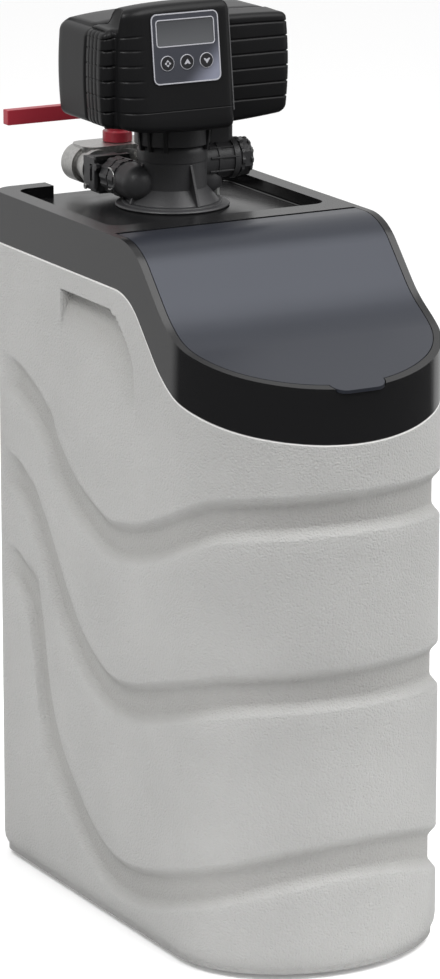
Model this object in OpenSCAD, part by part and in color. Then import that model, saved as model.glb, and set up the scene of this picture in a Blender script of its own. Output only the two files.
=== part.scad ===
// Cabinet water softener: a brine cabinet that holds a resin vessel, with a
// screw-driven control valve on the vessel's neck and a bypass behind it.
// Millimetres, +Z up, front faces -Y. The origin is the middle of the footprint, on the floor.

/* [Cabinet] */
// Width of the cabinet
cabinet_w = 260; // [252:1:300]
// Depth of the cabinet, front bow to rear wall
cabinet_d = 466; // [450:1:520]
// Height of the black rim above the floor
rim_z = 648; // [600:1:720]
// Thickness of the cabinet wall
wall = 4; // [3:0.5:5]
// Thickness of the cabinet floor
floor_t = 5; // [4:0.5:8]
// Radius of the two rear corners
rear_corner_r = 22; // [12:1:34]
// Radius of the two front corners
front_corner_r = 100; // [90:1:106]
// Radius of the front bow
front_r = 150; // [144:1:190]
// Width of a groove round the cabinet
groove_w = 26; // [20:1:28]
// Depth of a groove
groove_deep = 5.6; // [4:0.2:6]
// Thickness of the wall behind a groove
groove_wall = 2.8; // [2.4:0.2:3.2]
// Length of each hand recess
grip_len = 144; // [110:1:150]
// Height of each hand recess
grip_h = 96; // [70:1:110]
// Depth of each hand recess at its top
grip_depth = 16; // [10:1:18]
// Drop from the seam to the top of a hand recess
grip_drop = 21; // [16:1:30]
// Middle of a hand recess, behind the middle of the cabinet
grip_y = 20; // [10:1:30]

/* [Top cover] */
// Height of the black band
band_h = 47; // [42:1:60]
// How far the seam's curve sits behind the rim's curve
seam_shift = 8; // [0:1:14]
// Width of the rim around the lid
rim_w = 7; // [6:0.5:9]
// Where the flat top starts to fall, in front of the middle
crest_y = 25; // [20:1:34]
// Radius of the crest of the lid
crest_r = 62; // [50:1:75]
// Steepest slope of the lid
slope_deg = 47; // [40:1:50]
// Run of the steepest slope
slope_run = 28; // [20:1:34]
// Radius of the hollow of the lid
valley_r = 118; // [90:1:130]
// Slope of the nose of the lid
nose_deg = 17; // [10:1:20]
// Ledge that the lid rests on
ledge_w = 8; // [6:0.5:12]
// Thickness of the deck and of the ledge
deck_t = 4; // [3:0.5:5]
// Depth of the skirt inside the cabinet
skirt_h = 10; // [6:1:16]
// Width of the rim around the deck
deck_rim_w = 18; // [14:1:24]
// Depth of the deck below the rim
deck_depth = 12; // [8:1:14]
// Front edge of the deck's recess, behind the middle
deck_front_y = 22; // [16:1:30]
// Radius of the deck's corners
deck_corner_r = 14; // [8:1:20]
// Width of the pipe gap in the rear rim
pipe_gap_w = 144; // [120:1:160]
// Radius of the cone that rises to the valve collar
deck_cone_r = 92; // [80:1:100]

/* [Salt lid] */
// Thickness of the lid
lid_t = 3; // [2.5:0.5:4]
// Gap around the lid
lid_gap = 0.8; // [0.6:0.1:1.2]
// Hinge axis, in front of the middle
hinge_y = 12; // [10:1:16]
// Radius of the lid's hinge barrel
barrel_r = 5; // [4.5:0.5:6]
// Room behind the barrel for the open lid
hinge_slot = 1.4; // [1.2:0.1:2]
// Diameter of a hinge pin
hinge_pin_d = 5; // [4:0.5:6]
// Depth of a hinge pin in the barrel
hinge_pin_depth = 9; // [6:1:14]
// Width of the finger tab
tab_w = 54; // [40:1:70]
// Reach of the finger tab past the front of the band
tab_reach = 2; // [0:0.5:4]

/* [Resin vessel] */
// Diameter of the vessel
vessel_d = 208; // [190:1:212]
// Radius of the vessel's domes
dome_r = 120; // [116:1:140]
// Wall of the vessel
vessel_wall = 4; // [3:0.5:6]
// Gap from the vessel to the rear wall of the cabinet
vessel_gap = 10; // [8:1:14]
// Outside diameter of the vessel's neck
neck_out_d = 86; // [82:1:88]
// Thread diameter of the vessel's neck
neck_thread_d = 73; // [70:0.5:75]
// Height of the vessel's neck above the dome
neck_h = 10; // [8:1:14]
// Height of the boot
boot_h = 72; // [50:1:90]
// Wall of the boot
boot_wall = 4; // [3:0.5:4.5]
// Outside diameter of the riser tube
riser_d = 26.7; // [24:0.1:28]
// Wall of the riser tube
riser_wall = 2.4; // [2:0.1:3]
// Height of the resin bed
resin_h = 380; // [300:1:420]
// Height of the lower basket of the riser tube
basket_h = 44; // [36:1:50]
// Radius of the lower basket
basket_r = 22; // [18:1:24]
// Height of the upper basket under the valve
upper_basket_h = 26; // [22:1:30]

/* [Control valve] */
// Diameter of the valve's column
column_d = 64; // [60:1:68]
// Diameter of the collar on the deck
collar_d = 106; // [100:1:112]
// Thickness of the collar
collar_t = 3; // [2:0.5:4]
// Distance between the two flow ports
port_pitch = 68; // [66:1:74]
// Height of the flow ports above the collar
port_z = 18; // [18:1:20]
// Outside diameter of a port tube on the valve
port_tube_d = 34; // [33:1:36]
// Distance of the ports' round ends behind the column's axis
port_front = 2; // [0:0.5:6]
// Diameter of a coupling between the valve and the bypass
coupling_d = 24; // [22:0.5:25]
// Height of the column's top above the collar
column_h = 54; // [52:1:58]
// Diameter of the flange on top of the valve, which carries the head
flange_d = 70; // [68:0.5:72]
// Thickness of the top flange
flange_t = 8; // [7:0.5:10]
// Diameter of the bore that holds the seals
seal_bore_d = 44; // [42:0.5:46]
// Diameter of the piston
piston_d = 28; // [26:0.5:30]
// Length of the piston
piston_len = 26; // [24:0.5:27]
// Stroke of the piston
stroke = 16; // [12:0.5:16]
// Diameter of the piston rod
rod_d = 10; // [8:0.5:12]
// Number of seals in the stack
seal_n = 5; // [4:1:6]
// Thickness of a seal
seal_h = 2.4; // [2:0.1:3]

/* [Valve head] */
// Width of the head
head_w = 195; // [190:1:204]
// Height of the head's underside above the collar
head_z = 81; // [80:1:90]
// Height of the head
head_h = 92; // [90:1:100]
// Reach of the wings in front of the valve's axis
wing_y = 50; // [46:1:56]
// Reach of the head behind the valve's axis
rear_y = 47; // [44:1:54]
// Parting line of the head, in front of the valve's axis
part_y = 16.5; // [14:0.5:20]
// Radius of the head's rear corners
head_corner_r = 12; // [8:1:20]
// Wall of the head's covers
head_wall = 2.5; // [2:0.1:3]
// Left edge of the display block
block_left = -78; // [-84:1:-74]
// Right edge of the display block
block_right = 29; // [26:1:34]
// Reach of the display block in front of the valve's axis, at the display's middle
block_y = 63; // [60:1:70]
// Rise of the display block above the wings
block_rise = 19; // [14:1:24]
// Backward tilt of the display
display_tilt = 7; // [4:1:10]
// Middle of the display, across
display_x = -20; // [-22:1:-16]
// Height of the display's middle above the collar
display_z = 152; // [150:1:154]
// Width of the display panel
panel_w = 69; // [66:1:74]
// Height of the display panel
panel_h = 64; // [62:1:68]
// Thickness of the display panel
panel_t = 1.2; // [1:0.1:1.6]
// Width of the window
window_w = 58; // [54:1:60]
// Height of the window
window_h = 23; // [20:1:24]
// Height of the window's middle above the display's middle
window_rise = 14; // [13:0.5:16]
// Diameter of a button
button_d = 12; // [10:0.5:13]
// Distance between buttons
button_pitch = 20; // [18:0.5:21]
// Height of the buttons below the display's middle
button_drop = 13; // [12:0.5:14]
// How far a button stands proud of the panel
button_proud = 1; // [0.8:0.1:1.5]
// Travel of a button
button_travel = 0.8; // [0.5:0.1:1]
// Depth of the circuit board behind the display
board_depth = 12; // [11:0.5:14]

/* [Drive] */
// Tooth module of the drive
gear_module = 1; // [0.9:0.05:1.1]
// Teeth on the drive gear
gear_teeth = 52; // [48:4:56]
// Teeth on the pinion
pinion_teeth = 13; // [12:1:14]
// Thickness of the gears
gear_t = 10; // [8:0.5:12]
// Diameter of the motor
motor_d = 30; // [26:1:34]
// Length of the motor
motor_len = 28; // [24:1:34]
// Diameter of the motor shaft
shaft_d = 4; // [3:0.5:5]

/* [Brine] */
// Diameter of the injector body
injector_d = 36; // [34:1:38]
// Height of the injector's axis above the collar
injector_z = 34; // [33:1:36]
// Reach of the injector body from the valve's axis
injector_x = 62; // [60:1:66]
// Length of the injector cap
injector_cap_len = 17; // [14:1:20]
// Diameter of the brine valve's post
post_d = 17; // [15:0.5:18]
// Diameter of the brine valve's stem
stem_d = 6; // [5:0.5:7]
// Travel of the brine valve's stem
stem_travel = 4; // [3:0.5:5]
// Turns of the brine valve's spring
spring_n = 5; // [4:1:6]
// Thickness of the spring's wire
spring_wire = 0.8; // [0.6:0.1:1]
// Diameter of the brine tube
brine_tube_d = 10; // [8:0.5:11]
// Diameter of the brine well
well_d = 84; // [76:1:88]
// Height of the brine well above the cabinet floor
well_h = 480; // [420:1:490]
// Wall of the brine well
well_wall = 2.5; // [2:0.5:3]
// Space between the brine well and the cabinet's side wall
well_gap = 9.5; // [9:0.5:14]
// Place of the brine well, in front of the middle
well_y = 104; // [104:1:112]
// Diameter of the pickup tube
pickup_d = 18; // [14:1:20]
// Diameter of the float
float_d = 56; // [46:1:60]
// Height of the float
float_h = 40; // [30:1:50]
// Height of the float above the cabinet floor
float_z = 195; // [150:1:230]
// Travel of the float
float_travel = 25; // [15:1:40]

/* [Bypass] */
// Bypass axis, behind the valve's axis
bypass_y = 109; // [109:1:112]
// Where a coupling enters the bypass, behind the valve's axis
disc_y = 82; // [80:1:83]
// Rear end of the pipe sockets, behind the valve's axis
socket_end_y = 124; // [124:1:134]
// Diameter of a pipe socket
socket_d = 36; // [34:1:38]
// Bore of a pipe socket, for a G 3/4 thread
socket_bore_d = 24.2; // [22:0.1:26]
// Depth of a pipe socket
socket_depth = 17; // [14:0.5:18]
// Diameter of the bypass plug
plug_d = 36; // [34:0.5:37]
// Height of the bypass body's top above the collar
bypass_top_z = 36.5; // [36:0.5:38]
// Reach of the lever from its axis
lever_len = 117; // [90:1:126]
// Height of the lever bar
lever_h = 14; // [10:1:16]
// Thickness of the lever bar
lever_t = 10; // [8:0.5:12]
// Underside of the lever bar above the collar
lever_z = 62; // [60:1:66]
// Diameter of the lever's hub
hub_d = 28; // [24:1:30]

/* [Overflow] */
// Height of the overflow above the floor
overflow_z = 430; // [380:1:460]
// Distance from the overflow to the cabinet's side
overflow_in = 38; // [34:1:46]
// Diameter of the overflow and drain barbs
barb_d = 14; // [12:0.5:15]

/* [Fits] */
// Radial clearance of a running fit
run_fit = 0.05; // [0.03:0.01:0.1]
// Gap between pieces that rest on each other
seat = 0.3; // [0.2:0.05:0.4]

/* [Hidden] */
$fn = 64;
big = 2000;
half_w = cabinet_w / 2;
front_y = -cabinet_d / 2;
back_y = cabinet_d / 2;
// Front outline: a bow that runs into two corner arcs
bow_deg = asin((half_w - front_corner_r) / (front_r - front_corner_r));
bow_cy = front_y + front_r;
corner_cx = half_w - front_corner_r;
corner_cy = bow_cy - (front_r - front_corner_r) * cos(bow_deg);
// Middle lines of the grooves in the side view, from the front to their round ends
groove_low = [[front_y - 10, 110], [front_y + 12, 104], [front_y + 53, 86], [-87, 57], [-42, 48],
    [0, 50], [37, 66], [75, 96], [103, 126], [121, 158], [134, 200], [147, 245], [163, 275],
    [back_y - 43, 290]];
groove_mid = [[front_y - 10, 269.5], [front_y + 12, 268], [front_y + 53, 261], [-59, 225],
    [-15, 219], [17, 225], [55, 246], [84, 274], [106, 302], [130, 334], [157, 364],
    [back_y - 41, 381]];
groove_top = [[front_y - 10, 428.5], [front_y + 12, 427], [front_y + 53, 421], [-141, 405],
    [-89, 384], [-45, 371], [0, 366], [41, 378], [67, 390], [98, 414], [120, 440], [155, 464],
    [back_y - 41, 475]];
// Lid curve, as points of its side view: crest, slope, hollow and nose
crest_end = [-crest_y - crest_r * sin(slope_deg), rim_z - crest_r * (1 - cos(slope_deg))];
crest_corner = [-crest_y - crest_r * tan(slope_deg / 2), rim_z];
slope_end = crest_end - slope_run * [1, tan(slope_deg)];
valley_c = slope_end + valley_r * [-sin(slope_deg), cos(slope_deg)];
valley_end = valley_c + valley_r * [sin(nose_deg), -cos(nose_deg)];
// Levels
deck_z = rim_z - deck_depth;
collar_seat = 2 + collar_t;
seat_z = rim_z - 2;
hinge_z = rim_z - barrel_r;
vessel_y = back_y - wall - vessel_gap - vessel_d / 2;
dome_rise = dome_r - sqrt(dome_r * dome_r - vessel_d * vessel_d / 4);
vessel_top = seat_z - 14;
dome_top = vessel_top - neck_h;
vessel_bottom = floor_t + 7;
spigot_z = vessel_top - 20;
oring_r = (neck_out_d + neck_thread_d) / 4;
riser_top = seat_z + 5;
stack_z = 10;
stack_h = column_h - stack_z;
spacer_h = (stack_h - seal_n * seal_h) / (seal_n - 1);
flange_top = column_h + flange_t;
flange_screw_r = (seal_bore_d / 2 + 3 + flange_d / 2) / 2;
shelf_z = head_z + head_wall + seat;
shelf_t = 3;
base_front = wing_y - 12;
base_rear = base_front - 4;
base_left = block_left + 16;
base_right = base_left + 106;
boss_top = shelf_z + shelf_t + seat;
gear_z = boss_top + seat;
gear_r = gear_module * gear_teeth / 2;
pinion_r = gear_module * pinion_teeth / 2;
motor_x = -(gear_r + pinion_r);
plate_z = gear_z + gear_t + 4;
plate_t = 3;
post_x = gear_r + 2;
post_y = gear_r * 0.62;
post_left = motor_x - motor_d / 2 - 5;
port_x = port_pitch / 2;
port_end = 32;
gasket_t = 1;
nozzle_x = port_x + 10;
post_cx = injector_x - post_d / 2;
brine_y = injector_d / 2 + 6;
elbow_r = brine_tube_d / 2 + 2;
elbow_x = port_x + port_tube_d / 2 + elbow_r * cos(30) + seat;
elbow_low = 2;
well_top = floor_t + seat + well_h;
well_x = half_w - wall - well_d / 2 - well_gap;
overflow_x = half_w - overflow_in;
plug_z = 6;
plug_top = bypass_top_z - 6.5;
pin_r = hinge_pin_d / 2;
barrel_half = half_w - rim_w - lid_gap;
pin_reach = lid_gap + rim_w - 2.5;
front_board = board_depth + 1.6;
basket_z = vessel_bottom + vessel_wall + 4;
piston_z = stack_z + 1;
rod_top = plate_z + plate_t + 12;
stem_z = injector_z + 8 + stem_travel + seat;
// Places of the four screws that join the head's covers
screw_x = head_w / 2 - 11;
screw_z = [head_z + 12, head_z + head_h - 12];

// Footprint of the cabinet, drawn in by an inset
module outline(inset = 0) {
    for (side = [-1, 1])
        translate([side * corner_cx, corner_cy]) circle(front_corner_r - inset);
    intersection() {
        translate([0, bow_cy]) circle(front_r - inset);
        polygon([[0, bow_cy],
            [-front_r * tan(bow_deg), bow_cy - front_r],
            [front_r * tan(bow_deg), bow_cy - front_r]]);
    }
    translate([-half_w + inset, corner_cy])
        square([cabinet_w - 2 * inset, back_y - rear_corner_r - corner_cy]);
    translate([-half_w + rear_corner_r, corner_cy])
        square([cabinet_w - 2 * rear_corner_r, back_y - inset - corner_cy]);
    for (side = [-1, 1])
        translate([side * (half_w - rear_corner_r), back_y - rear_corner_r])
            circle(rear_corner_r - inset);
}

// Side view below the lid's curve
module curve_2d() {
    far = cabinet_d;
    difference() {
        polygon([[far, rim_z], crest_corner, slope_end, valley_end,
            valley_end - far * [1, tan(nose_deg)], [valley_end[0] - far, -far], [far, -far]]);
        difference() {
            polygon([[-crest_y, rim_z], [-crest_y, rim_z + 9], crest_corner + [-9, 9],
                crest_end + [-9, 9], crest_end]);
            translate([-crest_y, rim_z - crest_r]) circle(crest_r);
        }
        translate(valley_c) circle(valley_r);
    }
}

// Everything below the lid's curve, moved back and down
module below(back = 0, down = 0) {
    translate([0, back, -down]) rotate([90, 0, 90])
        linear_extrude(height = big, center = true) curve_2d();
}

// Upright column of a footprint
module column(inset = 0) {
    translate([0, 0, -big / 4]) linear_extrude(height = big) outline(inset);
}

// Half space in front of or behind a line across the cabinet
module front_of(y) { translate([-big / 2, y - big, -big / 2]) cube(big); }
module behind(y) { translate([-big / 2, y, -big / 2]) cube(big); }

// Rectangle with round corners, about the origin
module round_rect(w, d, r) {
    square([w - 2 * r, d], center = true);
    square([w, d - 2 * r], center = true);
    for (sx = [-1, 1], sy = [-1, 1])
        translate([sx * (w / 2 - r), sy * (d / 2 - r)]) circle(r);
}

// Frames of the valve and of the tilted display, whose z points out of its face
module at_valve() { translate([0, vessel_y, seat_z]) children(); }
module at_display() {
    at_valve() translate([display_x, -block_y, display_z]) rotate([90 - display_tilt, 0, 0])
        children();
}

// Cylinder along X or along Y, from one end to the other
module bar_x(x0, x1, r) { translate([x0, 0, 0]) rotate([0, 90, 0]) cylinder(h = x1 - x0, r = r); }
module bar_y(y0, y1, r) { translate([0, y0, 0]) rotate([-90, 0, 0]) cylinder(h = y1 - y0, r = r); }
module ring(r_out, r_in, h) {
    difference() {
        cylinder(h = h, r = r_out);
        translate([0, 0, -1]) cylinder(h = h + 2, r = r_in);
    }
}

// Pan-head screw along -Z, its head's seat at the origin
module screw(d, len) {
    translate([0, 0, -len]) cylinder(h = len, d = d);
    difference() {
        cylinder(h = d * 0.6, d = d * 2);
        for (turn = [0, 90]) rotate(turn)
            translate([-d * 0.7, -d * 0.12, d * 0.3]) cube([d * 1.4, d * 0.24, d]);
    }
}

// Hand recess in the left wall, grown all round: deep at its top, running out at its foot
module grip_wedge(grow = 0) {
    top = rim_z - band_h - grip_drop + grow;
    low = top - grip_h - 3 * grow;
    y0 = grip_y - grip_len / 2 - grow;
    y1 = grip_y + grip_len / 2 + grow;
    skin = grow > 0 ? 0 : 1;
    intersection() {
        translate([0, y0 - 1, 0]) rotate([-90, 0, 0]) linear_extrude(height = y1 - y0 + 2)
            polygon([[-half_w - skin, -top], [-half_w + grip_depth + grow, -top],
                [-half_w + grip_depth + grow, -top + 8 + grow], [-half_w - skin, -low]]);
        translate([-half_w - 2, 0, 0]) rotate([90, 0, 90]) linear_extrude(height = half_w)
            polygon([[y0 + grip_len * 0.28, top], [y1, top], [y1, low - 9], [y0, low - 9],
                [y0, top - grip_h * 0.45]]);
    }
}

// Side view of a groove: a band along its middle line with a round end
function across(path, i) = let (d = path[min(i + 1, len(path) - 1)] - path[max(i - 1, 0)])
    [-d[1], d[0]] / norm(d);
module groove_2d(path, grow) {
    n = len(path);
    half = groove_w / 2 + grow;
    polygon(concat([for (i = [0 : n - 1]) path[i] + half * across(path, i)],
        [for (i = [n - 1 : -1 : 0]) path[i] - half * across(path, i)]));
    translate(path[n - 1]) circle(half);
}

// The grooves as solids that reach from outside the cabinet to an inset of its outline
module grooves(inset, grow = 0) {
    difference() {
        for (path = [groove_low, groove_mid, groove_top]) rotate([90, 0, 90])
            linear_extrude(height = cabinet_w + 2, center = true) groove_2d(path, grow);
        column(inset);
    }
}

module cabinet() {
    color("silver") difference() {
        intersection() {
            union() {
                difference() {
                    linear_extrude(height = rim_z) outline();
                    translate([0, 0, floor_t]) linear_extrude(height = rim_z) outline(wall);
                }
                for (side = [0, 1]) mirror([side, 0, 0]) grip_wedge(wall);
                intersection() {
                    grooves(groove_deep + groove_wall, groove_wall);
                    column(wall / 2);
                }
            }
            below(seam_shift, band_h + seat);
        }
        for (side = [0, 1]) mirror([side, 0, 0]) grip_wedge();
        grooves(groove_deep);
        translate([-overflow_x, 0, overflow_z]) bar_y(back_y - wall - 1, back_y + 1, barb_d / 2 + seat);
    }
}

// Recess of the deck with its pipe gap
module deck_recess() {
    y0 = deck_front_y;
    y1 = back_y - deck_rim_w;
    linear_extrude(height = big) {
        translate([0, (y0 + y1) / 2])
            round_rect(cabinet_w - 2 * deck_rim_w, y1 - y0, deck_corner_r);
        translate([-pipe_gap_w / 2, y1 - 1]) square([pipe_gap_w, deck_rim_w + 20]);
    }
}

// Finger tab of the lid, as seen from above
module tab_2d(grow = 0) {
    len = rim_w + tab_reach + 19;
    translate([0, front_y - tab_reach + len / 2])
        round_rect(tab_w + 2 * grow, len + 2 * grow, 13);
}

module top_cover() {
    color("dimgray") difference() {
        union() {
            intersection() {
                difference() {
                    column();
                    column(rim_w);
                }
                difference() {
                    below();
                    below(seam_shift, band_h);
                }
            }
            intersection() {
                difference() {
                    column(wall + seat);
                    column(rim_w);
                }
                difference() {
                    below(0, lid_t + seat + deck_t);
                    below(seam_shift, band_h + skirt_h);
                }
            }
            intersection() {
                difference() {
                    column(rim_w - 1);
                    intersection() {
                        column(rim_w + ledge_w);
                        front_of(-hinge_y - barrel_r - lid_gap - deck_t);
                    }
                }
                difference() {
                    below(0, lid_t + seat);
                    below(0, lid_t + seat + deck_t);
                }
                front_of(-hinge_y);
            }
            intersection() {
                column(rim_w - 1);
                translate([0, 0, deck_z - deck_t]) linear_extrude(height = deck_depth + deck_t)
                    outline();
                behind(-hinge_y - barrel_r - lid_gap - deck_t);
            }
        }
        // lid pocket, hinge trough and tab notch
        intersection() {
            column(rim_w);
            difference() {
                translate([-big / 2, -big / 2, 0]) cube([big, big, rim_z + big / 2]);
                below(0, lid_t + seat);
            }
            front_of(-hinge_y);
        }
        translate([0, -hinge_y, hinge_z])
            bar_x(-barrel_half - lid_gap, barrel_half + lid_gap, barrel_r + lid_gap);
        translate([-barrel_half - lid_gap, -hinge_y, hinge_z])
            cube([2 * (barrel_half + lid_gap), barrel_r + hinge_slot, 2 * barrel_r]);
        intersection() {
            translate([0, 0, -1]) linear_extrude(height = big) tab_2d(lid_gap);
            difference() {
                translate([-big / 2, -big / 2, 0]) cube(big);
                below(0, lid_t + seat);
            }
        }
        // deck recess with a cone that rises to the collar
        difference() {
            translate([0, 0, deck_z]) deck_recess();
            at_valve() translate([0, 0, deck_z - seat_z])
                cylinder(h = seat_z - deck_z - collar_seat, r1 = deck_cone_r, r2 = collar_d / 2 + 1);
        }
        at_valve() translate([0, 0, -deck_depth - 20]) cylinder(h = 40, r = neck_out_d / 2 + 3);
        at_valve() translate([elbow_x, brine_y, -deck_depth - 20])
            cylinder(h = 40, r = brine_tube_d / 2 + 1);
        for (side = [0, 1]) mirror([side, 0, 0]) translate([barrel_half, -hinge_y, hinge_z])
            bar_x(0, pin_reach + seat, pin_r + run_fit);
    }
}

module salt_lid() {
    color("slategray") difference() {
        union() {
            intersection() {
                translate([0, 0, -1]) linear_extrude(height = big) {
                    intersection() {
                        outline(rim_w + lid_gap);
                        translate([-big / 2, -hinge_y - big]) square(big);
                    }
                    tab_2d();
                }
                difference() {
                    below();
                    below(0, lid_t);
                }
                front_of(-hinge_y);
            }
            translate([0, -hinge_y, hinge_z]) bar_x(-barrel_half, barrel_half, barrel_r);
        }
        for (side = [0, 1]) mirror([side, 0, 0]) translate([barrel_half, -hinge_y, hinge_z])
            bar_x(-hinge_pin_depth - seat, 1, pin_r + run_fit);
    }
}

module hinge_pins() {
    color("gainsboro") for (side = [0, 1]) mirror([side, 0, 0])
        translate([barrel_half, -hinge_y, hinge_z]) bar_x(-hinge_pin_depth, pin_reach, pin_r);
}

// Half section of the vessel, drawn in by an inset
module vessel_2d(inset = 0) {
    r = vessel_d / 2 - inset;
    intersection() {
        translate([0, vessel_bottom + inset]) square([r, dome_top - vessel_bottom - 2 * inset]);
        union() {
            translate([0, vessel_bottom + dome_rise])
                square([r, dome_top - vessel_bottom - 2 * dome_rise]);
            for (c = [vessel_bottom + dome_r, dome_top - dome_r]) intersection() {
                translate([0, c]) circle(dome_r - inset);
                translate([0, c < rim_z / 2 ? 0 : rim_z / 2]) square([r, rim_z / 2]);
            }
        }
    }
}

module pressure_vessel() {
    color("steelblue") translate([0, vessel_y, 0]) difference() {
        union() {
            rotate_extrude() vessel_2d();
            translate([0, 0, dome_top - dome_rise / 2])
                cylinder(h = vessel_top - dome_top + dome_rise / 2, d = neck_out_d);
        }
        rotate_extrude() vessel_2d(vessel_wall);
        translate([0, 0, dome_top - dome_rise]) cylinder(h = big, d = neck_thread_d);
        translate([0, 0, vessel_top - 2.3]) ring(oring_r + 1.3, oring_r - 1.3, 4);
    }
}

module vessel_boot() {
    color("black") translate([0, vessel_y, 0]) difference() {
        translate([0, 0, floor_t]) cylinder(h = boot_h, r = vessel_d / 2 + boot_wall);
        rotate_extrude() vessel_2d(-seat);
        translate([0, 0, vessel_bottom + dome_rise])
            cylinder(h = big, r = vessel_d / 2 + seat);
        translate([0, 0, -1]) cylinder(h = floor_t + 3, d = vessel_d * 0.4);
    }
}

module resin_bed() {
    color("peru") translate([0, vessel_y, 0]) difference() {
        intersection() {
            rotate_extrude() vessel_2d(vessel_wall + seat);
            translate([0, 0, vessel_bottom]) cylinder(h = resin_h, d = vessel_d);
        }
        cylinder(h = big, d = riser_d + 2 * seat);
        cylinder(h = basket_z + basket_h + seat, r = basket_r + seat);
    }
}

module riser_tube() {
    color("whitesmoke") translate([0, vessel_y, basket_z + 12])
        ring(riser_d / 2, riser_d / 2 - riser_wall, riser_top - basket_z - 12);
}

module lower_basket() {
    color("ivory") translate([0, vessel_y, basket_z]) difference() {
        cylinder(h = basket_h, r = basket_r);
        translate([0, 0, 12 - seat]) cylinder(h = basket_h, d = riser_d + 2 * run_fit);
        translate([0, 0, 2]) cylinder(h = 12, d = riser_d - 6);
        for (turn = [0 : 30 : 150]) rotate(turn)
            translate([-basket_r - 1, -1, 4]) cube([2 * basket_r + 2, 2, 6]);
    }
}

module upper_basket() {
    color("ivory") translate([0, vessel_y, spigot_z - upper_basket_h - seat]) difference() {
        cylinder(h = upper_basket_h, d = neck_thread_d - 5);
        translate([0, 0, -1]) cylinder(h = upper_basket_h + 2, d = riser_d + 2 * run_fit);
        translate([0, 0, 3]) ring(neck_thread_d / 2 - 5, riser_d / 2 + 3, upper_basket_h);
        for (turn = [0 : 20 : 160]) rotate(turn)
            translate([-neck_thread_d, -0.8, 6]) cube([2 * neck_thread_d, 1.6, upper_basket_h - 12]);
    }
}

module valve_body() {
    cr = column_d / 2;
    pr = port_tube_d / 2;
    color("dimgray") at_valve() difference() {
        union() {
            translate([0, 0, spigot_z - seat_z])
                cylinder(h = vessel_top - spigot_z + 2, d = neck_thread_d - 2 * run_fit);
            translate([0, 0, -14 + seat]) cylinder(h = 14 - seat - collar_seat, d = neck_out_d - 2);
            translate([0, 0, -collar_seat - 1]) cylinder(h = column_h + collar_seat - 7, r = cr);
            translate([0, 0, column_h - 8]) cylinder(h = 8.5, r1 = cr, r2 = cr - 5);
            cylinder(h = 13, r1 = cr + 11, r2 = cr);
            translate([0, 0, column_h]) cylinder(h = flange_t, d = flange_d);
            for (turn = [-86, 4, 184]) rotate(turn) rotate([90, 0, 0])
                linear_extrude(height = 2.4, center = true)
                polygon([[cr - 4, 0], [cr + 14, 0], [cr + 1, 36], [cr - 4, 40]]);
            for (side = [-1, 1]) translate([side * port_x, 0, port_z]) {
                bar_y(port_front, port_end, pr);
                translate([0, port_front, 0]) sphere(pr);
            }
            translate([0, 0, injector_z]) bar_x(0, injector_x, injector_d / 2);
            translate([post_cx, 0, injector_z]) cylinder(h = head_z - injector_z - seat, d = post_d);
            translate([flange_d / 2 + 1, -post_d / 2, injector_z])
                cube([post_cx - flange_d / 2 - 1, post_d, head_z - injector_z - seat]);
            translate([injector_x - 9, 0, injector_z - 8]) cube([9, brine_y + 7, 14]);
        }
        translate([0, 0, stack_z]) cylinder(h = big, d = seal_bore_d);
        translate([0, 0, column_h]) cylinder(h = big, d = seal_bore_d + 6);
        translate([0, 0, spigot_z - seat_z - 1])
            cylinder(h = riser_top - spigot_z + 1 + seat, d = riser_d + 2 * run_fit);
        cylinder(h = stack_z + 1, d = riser_d - 6);
        for (side = [-1, 1]) translate([side * port_x, 0, port_z]) {
            bar_y(port_end - 22, port_end + 1, coupling_d / 2 + run_fit);
            bar_y(port_front - 6, port_end, coupling_d / 2 - 3);
            bar_x(side < 0 ? 0 : -port_x, side < 0 ? port_x : 0, 6);
        }
        translate([0, 0, injector_z]) bar_x(0, injector_x, 5);
        translate([0, 0, injector_z]) bar_x(nozzle_x, injector_x + 1, 9);
        translate([post_cx, 0, injector_z + 8]) cylinder(h = big, r = stem_d / 2 + run_fit);
        translate([post_cx, 0, head_z - 22]) cylinder(h = big, r = stem_d / 2 + 3);
        translate([elbow_x, brine_y, injector_z - 9]) cylinder(h = 12, r = 3);
        translate([elbow_x, 0, injector_z]) bar_y(0, brine_y, 2);
        translate([0, 0, injector_z]) for (turn = [60 : 120 : 300]) rotate([turn, 0, 0])
            translate([injector_x - 9, 0, injector_d / 2 - 4.5]) rotate([0, 90, 0]) cylinder(h = 10, d = 3);
        translate([0, 0, column_h - 9]) bar_y(0, cr + 1, 5);
        at_flange() translate([0, 0, column_h - 1]) cylinder(h = flange_t + 2, d = 3);
    }
}

module neck_collar() {
    color("black") at_valve() difference() {
        translate([0, 0, -collar_seat + seat]) union() {
            cylinder(h = collar_t - 1, d = collar_d);
            translate([0, 0, collar_t - 1]) cylinder(h = 1, d1 = collar_d, d2 = collar_d - 4);
        }
        translate([0, 0, -10]) cylinder(h = 20, r = column_d / 2 + 13);
    }
    color("black") at_valve() translate([0, 0, -collar_seat + seat])
        ring(column_d / 2 + 14, column_d / 2 + seat, collar_seat - 2 * seat);
}

module neck_oring() {
    color("black") translate([0, vessel_y, vessel_top - 1.1])
        rotate_extrude() translate([oring_r, 0]) circle(1);
}

module seal_rings() {
    color("black") at_valve() for (i = [0 : seal_n - 1])
        translate([0, 0, stack_z + i * (seal_h + spacer_h)])
            ring(seal_bore_d / 2 - run_fit, piston_d / 2 + run_fit, seal_h);
}

module spacer_rings() {
    color("khaki") at_valve() for (i = [0 : seal_n - 2])
        translate([0, 0, stack_z + seal_h + i * (seal_h + spacer_h)]) difference() {
            ring(seal_bore_d / 2 - run_fit, piston_d / 2 + 2, spacer_h);
            for (turn = [0 : 45 : 135]) rotate(turn)
                translate([-big / 2, -2, 1]) cube([big, 4, spacer_h - 2]);
        }
}

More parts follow.
